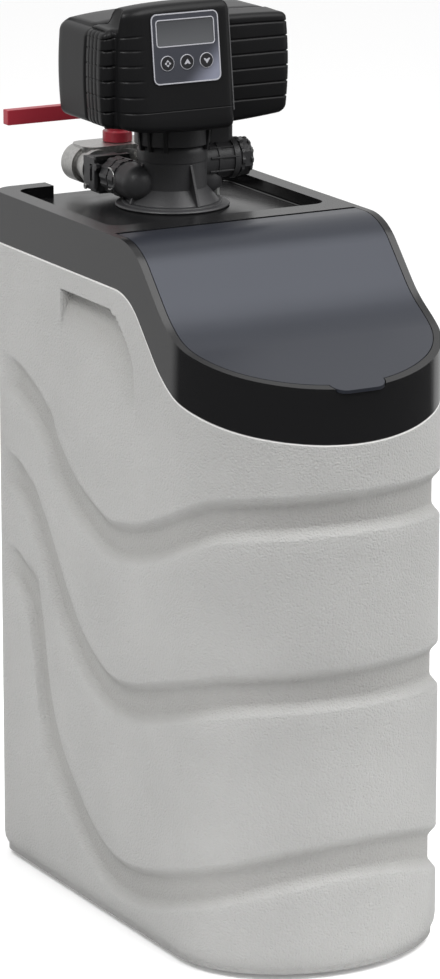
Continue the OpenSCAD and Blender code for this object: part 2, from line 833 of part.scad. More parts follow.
module piston() {
    color("gold") at_valve() {
        translate([0, 0, piston_z]) difference() {
            cylinder(h = piston_len, d = piston_d);
            translate([0, 0, piston_len * 0.3]) ring(piston_d, piston_d / 2 - 3, piston_len * 0.16);
            translate([0, 0, -1]) cylinder(h = piston_len * 0.6, d = piston_d - 14);
        }
        translate([0, 0, piston_z + piston_len - 1])
            cylinder(h = rod_top - piston_z - piston_len + 1, d = rod_d);
    }
}

module end_plug() {
    color("dimgray") at_valve() translate([0, 0, column_h + seat])
        ring(seal_bore_d / 2 + 3 - run_fit, rod_d / 2 + run_fit, flange_t - 2 * seat);
}

// Places of the four flange screws
module at_flange() {
    for (turn = [60, 120, 240, 300]) rotate(turn) translate([flange_screw_r, 0, 0]) children();
}

module head_base() {
    color("dimgray") at_valve() difference() {
        union() {
            translate([0, 0, flange_top]) cylinder(h = shelf_z + shelf_t - flange_top, d = flange_d);
            translate([base_left, -base_front, shelf_z])
                cube([base_right - base_left, base_front + base_rear, shelf_t]);
            translate([0, 0, flange_top]) cylinder(h = boss_top - flange_top, r = rod_d / 2 + 8);
            for (p = [[post_x, post_y], [post_x, -post_y], [post_left, 0]])
                translate([p[0], p[1], shelf_z]) cylinder(h = plate_z - shelf_z, r = 3.5);
        }
        translate([0, 0, flange_top - 1]) cylinder(h = big, r = rod_d / 2 + 0.6);
        for (p = [[post_x, post_y], [post_x, -post_y], [post_left, 0]])
            translate([p[0], p[1], plate_z - 9]) cylinder(h = 10, d = 3);
        at_flange() {
            translate([0, 0, flange_top - 1]) cylinder(h = 20, d = 3 + 2 * seat);
            translate([0, 0, flange_top + 4]) cylinder(h = 40, r = 3.4);
        }
    }
}

module base_screws() {
    color("silver") at_valve() at_flange() translate([0, 0, flange_top + 4])
        screw(3 - 2 * run_fit, 4 + flange_t - 0.5);
}

// Plan of the head behind or in front of the parting line, drawn in by an inset
module rear_2d(inset = 0) {
    w = head_w / 2 - inset;
    r = head_corner_r - inset;
    translate([-w, -part_y + seat]) square([2 * w, rear_y + part_y - seat - head_corner_r]);
    translate([-w + r, -part_y + seat]) square([2 * w - 2 * r, rear_y + part_y - seat - inset]);
    for (side = [-1, 1]) translate([side * (w - r), rear_y - head_corner_r]) circle(r);
}

// Opening in the head's underside above the base
module base_cutout() {
    translate([0, 0, head_z - 1]) cylinder(h = head_wall + 2, d = flange_d + 2 * seat);
}

module rear_housing() {
    color("dimgray") at_valve() difference() {
        union() {
            difference() {
                translate([0, 0, head_z]) linear_extrude(height = head_h) rear_2d();
                translate([0, 0, head_z + head_wall]) linear_extrude(height = head_h - 2 * head_wall)
                    union() {
                        rear_2d(head_wall);
                        translate([-head_w / 2 + head_wall, -part_y - 1])
                            square([head_w - 2 * head_wall, 3]);
                    }
                base_cutout();
            }
            for (side = [-1, 1], z = screw_z) translate([side * screw_x, 0, z])
                bar_y(-part_y + seat, rear_y - 1, 4.5);
        }
        for (side = [-1, 1], z = screw_z) translate([side * screw_x, 0, z])
            bar_y(-part_y - 1, rear_y + 1, 2);
        translate([post_cx, 0, head_z - 1]) cylinder(h = head_wall + 2, r = stem_d / 2 + 1);
        translate([-screw_x + 30, 0, head_z + 14]) bar_y(rear_y - head_wall - 1, rear_y + 1, 6);
    }
}

// Side view of the display block, drawn in by an inset
module block_2d(inset = 0) {
    t = tan(display_tilt);
    function face(z) = -block_y + inset / cos(display_tilt) + (z - display_z) * t;
    z0 = head_z + inset;
    z1 = head_z + head_h + block_rise - inset;
    polygon([[face(z0), z0], [-part_y + (inset > 0 ? 1 : 0), z0],
        [-part_y + (inset > 0 ? 1 : 0), head_z + head_h - inset],
        [face(z1) + 26 - 2 * inset, z1], [face(z1), z1]]);
}

module front_cover() {
    color("black") difference() {
        union() {
            at_valve() difference() {
                union() {
                    translate([-head_w / 2, -wing_y, head_z]) cube([head_w, wing_y - part_y, head_h]);
                    translate([block_left, 0, 0]) rotate([90, 0, 90])
                        linear_extrude(height = block_right - block_left) block_2d();
                }
                translate([-head_w / 2 + head_wall, -wing_y + head_wall, head_z + head_wall])
                    cube([head_w - 2 * head_wall, wing_y, head_h - 2 * head_wall]);
                translate([block_left + head_wall, 0, 0]) rotate([90, 0, 90])
                    linear_extrude(height = block_right - block_left - 2 * head_wall)
                    block_2d(head_wall);
                base_cutout();
            }
            at_valve() for (side = [-1, 1], z = screw_z) translate([side * screw_x, 0, z])
                bar_y(-wing_y + 1, -part_y, 4.5);
            at_display() for (sx = [-1, 1], sy = [-1, 1])
                translate([sx * (panel_w / 2 - 5), sy * (panel_h / 2 - 5), -board_depth])
                    cylinder(h = board_depth - 1, r = 3);
        }
        at_valve() for (side = [-1, 1], z = screw_z) translate([side * screw_x, 0, z])
            bar_y(-wing_y + 6, -part_y + 1, 1.5);
        at_display() {
            translate([-window_w / 2 + 3, window_rise - window_h / 2 + 3, -5])
                cube([window_w - 6, window_h - 6, 10]);
            for (i = [-1, 0, 1]) translate([i * button_pitch, -button_drop, -5])
                cylinder(h = 10, r = button_d / 2 + run_fit);
            for (sx = [-1, 1], sy = [-1, 1])
                translate([sx * (panel_w / 2 - 5), sy * (panel_h / 2 - 5), -board_depth - 1])
                    cylinder(h = 7, d = 2);
        }
    }
}

module head_screws() {
    color("silver") at_valve() for (side = [-1, 1], z = screw_z)
        translate([side * screw_x, rear_y, z]) rotate([-90, 0, 0])
            screw(3 - 2 * run_fit, rear_y + part_y + 20);
}

module display_panel() {
    color("darkslategray") at_display() difference() {
        linear_extrude(height = panel_t) round_rect(panel_w, panel_h, 6);
        translate([-window_w / 2, window_rise - window_h / 2, -1]) cube([window_w, window_h, 5]);
        for (i = [-1, 0, 1]) translate([i * button_pitch, -button_drop, -1])
            cylinder(h = 5, r = button_d / 2 + seat);
    }
}

module lcd_window() {
    color("gray") at_display() translate([-window_w / 2 + seat, window_rise - window_h / 2 + seat, 0])
        cube([window_w - 2 * seat, window_h - 2 * seat, panel_t - 0.2]);
}

module lcd_module() {
    color("darkgray") at_display()
        translate([-window_w / 2 + 5, window_rise - window_h / 2, -board_depth])
        cube([window_w - 10, window_h, board_depth - head_wall - seat]);
}

module circuit_board() {
    color("darkgreen") at_display() {
        difference() {
            translate([-panel_w / 2 + 1, -panel_h / 2 + 1, -front_board])
                cube([panel_w - 2, panel_h - 2, front_board - board_depth]);
            for (sx = [-1, 1], sy = [-1, 1])
                translate([sx * (panel_w / 2 - 5), sy * (panel_h / 2 - 5), -front_board - 1])
                    cylinder(h = 5, d = 2 + 2 * seat);
        }
        for (i = [-1, 0, 1]) translate([i * button_pitch, -button_drop, -front_board + 0.5]) {
            translate([-3, -3, 0]) cube([6, 6, 3.1]);
            cylinder(h = 3.8, r = 1.6);
        }
    }
}

module board_screws() {
    color("silver") at_display() for (sx = [-1, 1], sy = [-1, 1])
        translate([sx * (panel_w / 2 - 5), sy * (panel_h / 2 - 5), -front_board])
            mirror([0, 0, 1]) screw(2 - 2 * run_fit, 6);
}

// Button with a collar behind the cover's wall
module button(i) {
    color("dimgray") at_display() translate([i * button_pitch, -button_drop, 0]) {
        tip = -front_board + 0.5 + 3.8 + button_travel + seat;
        translate([0, 0, tip]) cylinder(h = panel_t + button_proud - tip, d = button_d);
        translate([0, 0, -head_wall - seat - 1.2]) cylinder(h = 1.2, d = button_d + 3);
    }
}
module set_button() { button(-1); }
module up_button() { button(0); }
module down_button() { button(1); }

module motor_plate() {
    color("lightgray") at_valve() difference() {
        translate([post_left - 5, -post_y - 5, plate_z])
            cube([post_x - post_left + 10, 2 * post_y + 10, plate_t]);
        translate([0, 0, plate_z - 1]) cylinder(h = plate_t + 2, r = rod_d / 2 + 0.6);
        translate([motor_x, 0, plate_z - 1]) cylinder(h = plate_t + 2, r = shaft_d / 2 + 0.5);
        for (p = [[post_x, post_y], [post_x, -post_y], [post_left, 0]])
            translate([p[0], p[1], plate_z - 1]) cylinder(h = plate_t + 2, d = 3 + 2 * seat);
    }
}

module plate_screws() {
    color("silver") at_valve() for (p = [[post_x, post_y], [post_x, -post_y], [post_left, 0]])
        translate([p[0], p[1], plate_z + plate_t]) screw(3 - 2 * run_fit, 9);
}

module gear_motor() {
    color("gray") at_valve() translate([motor_x, 0, plate_z + plate_t]) difference() {
        cylinder(h = motor_len, d = motor_d);
        translate([0, 0, -1]) cylinder(h = motor_len * 0.6, r = shaft_d / 2 + run_fit);
    }
}

// Spur gear with plain tapered teeth
module spur(teeth, h) {
    r = gear_module * teeth / 2;
    pitch = 360 / teeth;
    outer = r + 0.85 * gear_module;
    root = r - 1.15 * gear_module;
    flank = [[-0.3, root], [-0.1, outer], [0.1, outer], [0.3, root]];
    linear_extrude(height = h) polygon([for (i = [0 : teeth - 1], k = flank)
        k[1] * [cos((i + k[0]) * pitch), sin((i + k[0]) * pitch)]]);
}

module drive_pinion() {
    color("white") at_valve() translate([motor_x, 0, gear_z]) {
        rotate(180 / pinion_teeth) spur(pinion_teeth, gear_t);
        cylinder(h = plate_z - gear_z + plate_t + motor_len * 0.6 - 1 - seat, d = shaft_d);
    }
}

module drive_gear() {
    color("white") at_valve() translate([0, 0, gear_z]) difference() {
        union() {
            spur(gear_teeth, gear_t);
            cylinder(h = plate_z - gear_z - seat, r = rod_d / 2 + 7);
        }
        translate([0, 0, -1]) cylinder(h = big, r = rod_d / 2 + run_fit);
        for (turn = [45 : 90 : 315]) rotate(turn)
            translate([gear_r * 0.72, 0, -1]) cylinder(h = gear_t + 2, r = gear_r * 0.14);
    }
}

module cap_gasket() {
    color("black") at_valve() translate([injector_x, 0, injector_z]) rotate([0, 90, 0])
        ring(11.4, 9.4, gasket_t);
}

module injector_cap() {
    color("black") at_valve() translate([injector_x + gasket_t, 0, injector_z]) difference() {
        union() {
            rotate([22.5, 0, 0]) rotate([0, 90, 0])
                cylinder(h = injector_cap_len - 4, d = injector_d, $fn = 8);
            bar_x(injector_cap_len - 5, injector_cap_len, injector_d / 2 - 8.5);
        }
        for (turn = [60 : 120 : 300]) rotate([turn, 0, 0])
            translate([-1, 0, injector_d / 2 - 4.5]) rotate([0, 90, 0])
                cylinder(h = injector_cap_len, d = 3 + 2 * seat);
    }
}

module cap_screws() {
    color("silver") at_valve() translate([injector_x + gasket_t + injector_cap_len - 4, 0, injector_z])
        for (turn = [60 : 120 : 300]) rotate([turn, 0, 0])
            translate([0, 0, injector_d / 2 - 4.5]) rotate([0, 90, 0])
                screw(3 - 2 * run_fit, injector_cap_len + 3);
}

module injector_nozzle() {
    color("white") at_valve() translate([nozzle_x + seat, 0, injector_z]) rotate([0, 90, 0])
        difference() {
            union() {
                cylinder(h = 6, r = 9 - run_fit);
                translate([0, 0, 5.5]) cylinder(h = injector_x - nozzle_x - 8, r1 = 6, r2 = 3);
            }
            translate([0, 0, -1]) cylinder(h = 60, r = 1);
        }
}

module brine_stem() {
    color("gainsboro") at_valve() translate([post_cx, 0, stem_z]) {
        cylinder(h = head_z + 4 - stem_z, d = stem_d);
        translate([0, 0, head_z - 4 - stem_z]) cylinder(h = 2, r = stem_d / 2 + 2.7);
    }
}

// Spring between the post's shoulder and the stem's collar, as one wound tube
module brine_spring() {
    low = head_z - 22 + spring_wire + 0.2;
    high = head_z - 4 - spring_wire - 0.2;
    r = stem_d / 2 + 1.6;
    steps = 8 * spring_n;
    sides = 6;
    pts = [for (i = [0 : steps], k = [0 : sides - 1])
        let (a = 360 * i / 8, b = 360 * k / sides, q = r + spring_wire * cos(b))
        [q * cos(a), q * sin(a), low + (high - low) * i / steps + spring_wire * sin(b)]];
    faces = [for (i = [0 : steps - 1], k = [0 : sides - 1])
        let (a = i * sides + k, b = i * sides + (k + 1) % sides)
        each [[a, b, b + sides], [a, b + sides, a + sides]]];
    ends = [[for (k = [0 : sides - 1]) sides - 1 - k], [for (k = [0 : sides - 1]) steps * sides + k]];
    color("silver") at_valve() translate([post_cx, 0, 0])
        polyhedron(pts, concat(faces, ends));
}

module brine_elbow() {
    color("white") at_valve() translate([elbow_x, brine_y, elbow_low]) {
        rotate(30) cylinder(h = injector_z - 8 - seat - elbow_low, r = elbow_r, $fn = 6);
        cylinder(h = injector_z - elbow_low, r = 3 - run_fit);
    }
}

// Brine tube from the elbow through the deck, past the vessel's dome, to the well's cap
function tube_points() = let (x = elbow_x, y = vessel_y + brine_y, z = seat_z + elbow_low - seat,
    wx = well_x, wy = -well_y, wz = well_top + 6 + 2 * seat) [
    [x, y, z], [x, y, z - 14], [x + 1, y - 3, z - 26], [x + 5, y - 14, z - 33],
    [x + 9, y - 30, z - 35], [x + 18, y - 65, z - 37], [x + 22, y - 100, z - 40],
    [x + 22, y - 140, z - 48], [wx + 2, wy + 62, wz + 84], [wx + 1, wy + 28, wz + 58],
    [wx, wy + 8, wz + 34], [wx, wy, wz + 14], [wx, wy, wz]];
module brine_tube() {
    p = tube_points();
    n = len(p);
    r = brine_tube_d / 2;
    sides = 8;
    pts = [for (i = [0 : n - 1])
        let (d = i == 0 || i == n - 1 ? [0, 0, -1] : p[i + 1] - p[i - 1],
            t = d / norm(d), u = [1, 0, 0], v0 = cross(t, u), v = v0 / norm(v0), w = cross(v, t))
        for (k = [0 : sides - 1]) p[i] + r * (cos(360 * k / sides) * w + sin(360 * k / sides) * v)];
    faces = [for (i = [0 : n - 2], k = [0 : sides - 1])
        let (a = i * sides + k, b = i * sides + (k + 1) % sides)
        each [[a, b, b + sides], [a, b + sides, a + sides]]];
    ends = [[for (k = [0 : sides - 1]) sides - 1 - k], [for (k = [0 : sides - 1]) (n - 1) * sides + k]];
    color("white") polyhedron(pts, concat(faces, ends));
}

module at_well() { translate([well_x, -well_y, floor_t + seat]) children(); }
module brine_well() {
    color("lightgray") at_well() difference() {
        ring(well_d / 2, well_d / 2 - well_wall, well_h);
        for (turn = [0 : 45 : 135], z = [10, 40]) rotate(turn)
            translate([-well_d, -2, z]) cube([2 * well_d, 4, 20]);
    }
}

module well_cap() {
    color("gray") at_well() translate([0, 0, well_h + seat]) difference() {
        union() {
            cylinder(h = 6, d = well_d + 2);
            translate([0, 0, -8]) cylinder(h = 9, r = well_d / 2 - well_wall - seat);
        }
        translate([0, 0, -9]) cylinder(h = 8, r = well_d / 2 - well_wall - 3);
        translate([0, 0, -9]) cylinder(h = 11, r = pickup_d / 2 + run_fit);
        translate([0, 0, -9]) cylinder(h = 20, d = pickup_d - 8);
    }
}

module brine_pickup() {
    r = pickup_d / 2;
    color("white") at_well() difference() {
        union() {
            translate([0, 0, 8]) cylinder(h = well_h - 6 - seat, r = r);
            cylinder(h = 12, r = r + 4);
            translate([0, 0, float_z - 6]) cylinder(h = 6 - seat, r = r + 5);
            translate([0, 0, float_z + float_h + float_travel + seat]) cylinder(h = 6, r = r + 5);
        }
        translate([0, 0, 4]) cylinder(h = big, r = r - 2.5);
        for (turn = [0 : 45 : 135]) rotate(turn) translate([-2 * r, -1, 2]) cube([4 * r, 2, 5]);
    }
}

module brine_float() {
    color("orange") at_well() translate([0, 0, float_z]) ring(float_d / 2, pickup_d / 2 + seat, float_h);
}

module drain_elbow() {
    color("white") at_valve() translate([0, 0, column_h - 9]) difference() {
        union() {
            bar_y(column_d / 2 - 4, column_d / 2 + 1, 5 - run_fit);
            bar_y(column_d / 2 + seat, column_d / 2 + 12, 8.5);
            for (i = [0 : 2]) translate([0, column_d / 2 + 11 + 7 * i, 0]) rotate([-90, 0, 0])
                cylinder(h = 8, d1 = barb_d, d2 = barb_d - 3);
        }
        bar_y(0, big, 3);
    }
}

module power_inlet() {
    color("black") at_valve() translate([-screw_x + 30, 0, head_z + 14]) difference() {
        union() {
            bar_y(rear_y - 12, rear_y + 1, 6 - run_fit);
            bar_y(rear_y + seat, rear_y + 2, 8);
        }
        bar_y(rear_y - 8, rear_y + 3, 3.5);
    }
}

module port_couplings() {
    r = coupling_d / 2;
    color("black") at_valve() for (side = [-1, 1]) translate([side * port_x, 0, port_z]) {
        difference() {
            union() {
                bar_y(port_end - 22 + seat, disc_y + 16 - seat, r);
                bar_y(port_end + seat, port_end + 14, r + 3);
            }
            bar_y(0, big, r - 3);
        }
        if (side < 0) {
            for (y = [port_end + 4, port_end + 24]) translate([-r + 2, y, -0.8])
                cube([2 * r - 4, 1.6, 1.6]);
            bar_y(port_end + 5, port_end + 25, 0.7);
        }
    }
}

module coupling_clips() {
    r = coupling_d / 2;
    color("black") at_valve() for (side = [-1, 1]) translate([side * port_x, disc_y - 26, port_z]) {
        difference() {
            translate([-r - 4, 0, -r - 4]) cube([2 * r + 8, 26 - seat, 2 * r + 6]);
            bar_y(-1, 30, r + seat);
            translate([-3, -1, -r - 6]) cube([6, 32, r]);
            for (sx = [-1, 1]) translate([sx * (r + 2), 0, 0]) translate([0, 8, 0])
                cube([9, 10, 16], center = true);
            translate([0, 20, -r - 2]) bar_x(-r - 5, -r + 3, 1.5);
        }
    }
}

module clip_screws() {
    color("silver") at_valve() for (side = [-1, 1])
        translate([side * port_x - coupling_d / 2 - 4, disc_y - 6, port_z - coupling_d / 2 - 2])
            rotate([0, -90, 0]) screw(3 - 2 * run_fit, 6);
}

module wire_clips() {
    color("silver") at_valve() for (side = [-1, 1])
        translate([side * port_x, disc_y - 30, port_z]) rotate([90, 0, 0])
            rotate_extrude() translate([coupling_d / 2 + 1.2, 0]) circle(1);
}

module flow_turbine() {
    r = coupling_d / 2 - 3;
    color("white") at_valve() translate([-port_x, port_end + 5.6 + seat, port_z]) difference() {
        union() {
            bar_y(0, 18.4 - 2 * seat, 2.4);
            for (turn = [0 : 60 : 300]) rotate([0, turn, 0]) rotate([12, 0, 0])
                translate([0, 4, -0.6]) cube([r - 1, 9, 1.2]);
        }
        bar_y(-1, 20, 0.7 + run_fit);
    }
}

module bypass_body() {
    top = bypass_top_z;
    leg = coupling_d / 2 + 3;
    color("silver") at_valve() difference() {
        union() {
            for (side = [-1, 1]) translate([side * port_x, 0, port_z]) {
                bar_y(disc_y, disc_y + 6, port_tube_d / 2);
                bar_y(disc_y + 5, socket_end_y - 10, leg);
                bar_y(socket_end_y - socket_depth - 5, socket_end_y, socket_d / 2);
            }
            translate([0, bypass_y, port_z]) bar_x(-port_x, port_x, leg - 2);
            translate([0, bypass_y, plug_z - 4]) cylinder(h = top - plug_z, d = plug_d + 8);
            translate([0, bypass_y - 1, plug_top]) linear_extrude(height = top - plug_top)
                round_rect(port_pitch + 16, 40, 12);
        }
        for (side = [-1, 1]) translate([side * port_x, 0, port_z]) {
            bar_y(disc_y - 1, disc_y + 16, coupling_d / 2 + run_fit);
            bar_y(disc_y, socket_end_y - 2, coupling_d / 2 - 3);
            bar_y(socket_end_y - socket_depth, socket_end_y + 1, socket_bore_d / 2);
        }
        translate([0, bypass_y, port_z]) bar_x(-port_x, port_x, coupling_d / 2 - 3);
        translate([0, bypass_y, plug_z]) cylinder(h = plug_top - plug_z, r = plug_d / 2 + run_fit);
        translate([0, bypass_y, plug_z]) cylinder(h = big, r = 6 + run_fit);
    }
}

module bypass_plug() {
    color("white") at_valve() translate([0, bypass_y, 0]) difference() {
        union() {
            translate([0, 0, plug_z + seat]) cylinder(h = plug_top - plug_z - 2 * seat, d = plug_d);
            translate([0, 0, plug_top - 1]) cylinder(h = bypass_top_z + 9 - plug_top, r = 6);
        }
        for (side = [-1, 1]) translate([0, side * plug_d * 0.55, port_z])
            bar_x(-plug_d, plug_d, coupling_d / 2 - 3.5);
        translate([0, 0, bypass_top_z]) cylinder(h = 20, d = 3);
    }
}

module bypass_lever() {
    hub_z = bypass_top_z + seat;
    color("firebrick") at_valve() translate([0, bypass_y, 0]) difference() {
        union() {
            translate([0, 0, hub_z]) cylinder(h = 10, d = hub_d);
            translate([0, 0, hub_z + 9]) cylinder(h = lever_z - hub_z - 8, r = hub_d / 2 - 4);
            translate([-lever_len, -lever_t / 2, lever_z]) cube([lever_len, lever_t, lever_h]);
            translate([0, 0, lever_z]) cylinder(h = lever_h, r = hub_d / 2 - 4);
        }
        translate([0, 0, hub_z - 1]) cylinder(h = 9 - seat + 1, r = 6 + run_fit);
        translate([0, 0, hub_z]) cylinder(h = big, d = 3 + 2 * seat);
        translate([0, 0, lever_z + lever_h - 6]) cylinder(h = 10, r = 4);
    }
}

module lever_screw() {
    color("silver") at_valve() translate([0, bypass_y, lever_z + lever_h - 6])
        screw(3 - 2 * run_fit, lever_z + lever_h - 6 - bypass_top_z - 3);
}

module overflow_elbow() {
    color("white") translate([-overflow_x, back_y, overflow_z]) difference() {
        union() {
            bar_y(-wall - 12, 10, barb_d / 2);
            bar_y(seat, 6, barb_d / 2 + 5);
            bar_y(-wall - 5, -wall - seat, barb_d / 2 + 5);
            for (i = [0 : 1]) translate([0, 9 + 7 * i, 0]) rotate([-90, 0, 0])
                cylinder(h = 8, d1 = barb_d, d2 = barb_d - 3);
        }
        bar_y(-40, 60, barb_d / 2 - 3);
    }
}

cabinet();
top_cover();
salt_lid();
hinge_pins();
pressure_vessel();
vessel_boot();
resin_bed();
riser_tube();
lower_basket();
upper_basket();
valve_body();
neck_collar();
neck_oring();
seal_rings();
spacer_rings();
piston();
end_plug();
head_base();
base_screws();
rear_housing();
front_cover();
head_screws();
display_panel();
lcd_window();
lcd_module();
circuit_board();
board_screws();
set_button();
up_button();
down_button();
motor_plate();
plate_screws();
gear_motor();
drive_pinion();
drive_gear();
cap_gasket();
injector_cap();
cap_screws();
injector_nozzle();
brine_stem();
brine_spring();
brine_elbow();
brine_tube();
brine_well();
well_cap();
brine_pickup();
brine_float();
drain_elbow();
power_inlet();
port_couplings();
coupling_clips();
clip_screws();
wire_clips();
flow_turbine();
bypass_body();
bypass_plug();
bypass_lever();
lever_screw();
overflow_elbow();
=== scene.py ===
import math
import bpy
import numpy as np
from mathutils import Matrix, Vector


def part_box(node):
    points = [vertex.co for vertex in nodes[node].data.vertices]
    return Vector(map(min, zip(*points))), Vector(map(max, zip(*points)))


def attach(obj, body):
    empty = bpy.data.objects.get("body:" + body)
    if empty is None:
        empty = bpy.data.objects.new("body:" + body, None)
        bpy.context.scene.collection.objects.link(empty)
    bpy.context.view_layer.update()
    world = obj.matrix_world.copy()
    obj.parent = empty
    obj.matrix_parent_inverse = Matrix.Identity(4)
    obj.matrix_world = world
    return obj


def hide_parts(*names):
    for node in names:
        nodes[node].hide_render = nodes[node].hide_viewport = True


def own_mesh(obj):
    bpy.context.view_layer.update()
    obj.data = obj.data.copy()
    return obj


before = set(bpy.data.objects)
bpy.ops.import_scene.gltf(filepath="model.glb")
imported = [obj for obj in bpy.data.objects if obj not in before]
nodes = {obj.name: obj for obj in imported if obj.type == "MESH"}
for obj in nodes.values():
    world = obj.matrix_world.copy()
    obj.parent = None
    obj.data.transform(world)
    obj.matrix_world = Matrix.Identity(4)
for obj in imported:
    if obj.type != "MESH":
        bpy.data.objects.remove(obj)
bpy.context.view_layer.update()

# Studio. The softener stands on a plain pale floor in an evenly lit white room, seen from the front
# left and a little above, through a long lens. Shiny faces mirror a dim room that is bright at the rear.
scene = bpy.context.scene
scene.view_settings.view_transform = "Standard"
camera = bpy.data.objects.new("camera", bpy.data.cameras.new("camera"))
scene.collection.objects.link(camera)
scene.camera = camera
camera.data.lens = 178.5
camera.data.sensor_width = 36.0
camera.data.clip_end = 60.0
camera.location = (-2.079, -3.763, 1.526)
aim = Vector((-0.0100, 0.0055, 0.3952))
camera.rotation_euler = (aim - camera.location).to_track_quat("-Z", "Y").to_euler()


def set_sockets(tree, node, sockets):
    """Sets each named input of a node to a value, or joins it to another node's output."""
    for socket, value in sockets.items():
        if isinstance(value, bpy.types.NodeSocket):
            tree.links.new(value, node.inputs[socket])
        else:
            node.inputs[socket].default_value = value


def add_node(tree, kind, sockets, **settings):
    """New shader node with its settings and inputs."""
    node = tree.nodes.new("ShaderNode" + kind)
    for setting, value in settings.items():
        setattr(node, setting, value)
    set_sockets(tree, node, sockets)
    return node


def new_finish(name):
    """New material, with its node tree and its main shader."""
    finish = bpy.data.materials.new(name)
    finish.use_nodes = True
    return finish, finish.node_tree, finish.node_tree.nodes["Principled BSDF"]


floor_z, floor_front, floor_reach = -0.0008, -0.9, 7.0
floor_mesh = bpy.data.meshes.new("floor")
floor_mesh.from_pydata([(-floor_reach, floor_front, floor_z), (floor_reach, floor_front, floor_z),
                        (floor_reach, floor_reach, floor_z), (-floor_reach, floor_reach, floor_z)],
                       [], [(0, 1, 2, 3)])
floor = bpy.data.objects.new("floor", floor_mesh)
scene.collection.objects.link(floor)
floor.visible_glossy = False
floor_paint, tree, bsdf = new_finish("floor_paint")
set_sockets(tree, bsdf, {"Base Color": (0.95, 0.95, 0.95, 1), "Roughness": 0.9, "Specular IOR Level": 0.1,
                         "Emission Color": (1, 1, 1, 1), "Emission Strength": 0.11})
floor_mesh.materials.append(floor_paint)

world = bpy.data.worlds.new("room")
scene.world = world
world.use_nodes = True
room = world.node_tree
room.nodes.clear()
ray = add_node(room, "LightPath", {})
toward = add_node(room, "TexCoord", {})
split = add_node(room, "SeparateXYZ", {"Vector": toward.outputs["Generated"]})

# what shiny faces mirror: bright to the rear and above, and low on the right
lean = add_node(room, "Math", {0: split.outputs["Z"], 1: 0.6, 2: split.outputs["Y"]},
                operation="MULTIPLY_ADD")
right = add_node(room, "Math", {0: split.outputs["X"], 1: 0.0}, operation="MAXIMUM")
low = add_node(room, "Math", {0: split.outputs["Z"], 1: -4.0}, operation="MULTIPLY", use_clamp=True)
low_right = add_node(room, "Math", {0: right.outputs[0], 1: low.outputs[0]}, operation="MULTIPLY")
bright = add_node(room, "Math", {0: low_right.outputs[0], 1: 0.59, 2: lean.outputs[0]},
                  operation="MULTIPLY_ADD")
ramp = add_node(room, "MapRange", {"Value": bright.outputs[0], "From Min": 0.56, "From Max": 0.69,
                                   "To Min": 0.12, "To Max": 0.95})
mirrored = add_node(room, "Background", {"Strength": ramp.outputs["Result"]})

# what lights matt faces, and the white that the camera sees
rise = add_node(room, "MapRange", {"Value": split.outputs["Z"], "From Min": -0.05, "From Max": 1.0,
                                   "To Min": 0.08, "To Max": 1.55})
soft_light = add_node(room, "Background", {"Strength": rise.outputs["Result"]})
seen = add_node(room, "Background", {"Color": (1, 1, 1, 1), "Strength": 1.0})
shiny = add_node(room, "Math", {0: ray.outputs["Is Glossy Ray"], 1: ray.outputs["Is Transmission Ray"]},
                 operation="MAXIMUM")
lit = add_node(room, "MixShader", {"Fac": shiny.outputs[0], 1: soft_light.outputs[0], 2: mirrored.outputs[0]})
shown = add_node(room, "MixShader", {"Fac": ray.outputs["Is Camera Ray"], 1: lit.outputs[0],
                                     2: seen.outputs[0]})
add_node(room, "OutputWorld", {"Surface": shown.outputs[0]})

lamp_aim = Vector((0, 0, 0.45))
for name, place, size, power in (
    ("left_softbox", (-1.5, -0.5, 2.6), 1.0, 33),
    ("right_softbox", (2.6, -1.2, 1.6), 2.2, 19),
    ("top_softbox", (1.02, -0.85, 2.45), 1.6, 23),
    ("key_softbox", (0.45, -1.9, 2.9), 1.2, 28),
):
    lamp = bpy.data.objects.new(name, bpy.data.lights.new(name, "AREA"))
    lamp.data.size = size
    lamp.data.energy = power
    lamp.location = place
    lamp.rotation_euler = (lamp_aim - lamp.location).to_track_quat("-Z", "Y").to_euler()
    scene.collection.objects.link(lamp)


# Brine cabinet. A rotomoulded polyethylene box, bowed at the front, with a leathery grain. Three soft
# grooves wave round its front and sides, and each side has a hand recess near the top. Painted shade
# darkens the grooves and the recesses, and a thin pale lip under the cover is a painted highlight.
half_width = 0.130
front_y, back_y = -0.233, 0.233
bow_radius, corner_radius, rear_radius = 0.150, 0.100, 0.022
bow_sweep = math.asin((half_width - corner_radius) / (bow_radius - corner_radius))
bow_centre = front_y + bow_radius
corner_x = half_width - corner_radius
corner_y = bow_centre - (bow_radius - corner_radius) * math.cos(bow_sweep)
run_bow = bow_radius * bow_sweep
run_corner = run_bow + corner_radius * (math.pi / 2 - bow_sweep)
run_side = run_corner + (back_y - rear_radius - corner_y)
run_rear = run_side + rear_radius * math.pi / 2
run_all = run_rear + half_width - rear_radius


def outline(run):
    """Point and outward normal on the footprint, at a distance from the middle of the front."""
    side = 1.0 if run >= 0 else -1.0
    d = abs(run)
    if d < run_bow:
        a = d / bow_radius
        x, y = bow_radius * math.sin(a), bow_centre - bow_radius * math.cos(a)
        nx, ny = math.sin(a), -math.cos(a)
    elif d < run_corner:
        a = bow_sweep + (d - run_bow) / corner_radius
        x, y = corner_x + corner_radius * math.sin(a), corner_y - corner_radius * math.cos(a)
        nx, ny = math.sin(a), -math.cos(a)
    elif d < run_side:
        x, y, nx, ny = half_width, corner_y + d - run_corner, 1.0, 0.0
    elif d < run_rear:
        a = (d - run_side) / rear_radius
        x = half_width - rear_radius + rear_radius * math.cos(a)
        y = back_y - rear_radius + rear_radius * math.sin(a)
        nx, ny = math.cos(a), math.sin(a)
    else:
        x, y, nx, ny = run_all - d, back_y, 0.0, 1.0
    return side * x, y, side * nx, ny


rim_z, crest_y, crest_r, valley_r, slope_run = 0.648, -0.025, 0.062, 0.118, 0.028
lid_slope, lid_nose = math.radians(47), math.radians(17)
seam_forward, seam_drop = 0.008, 0.047


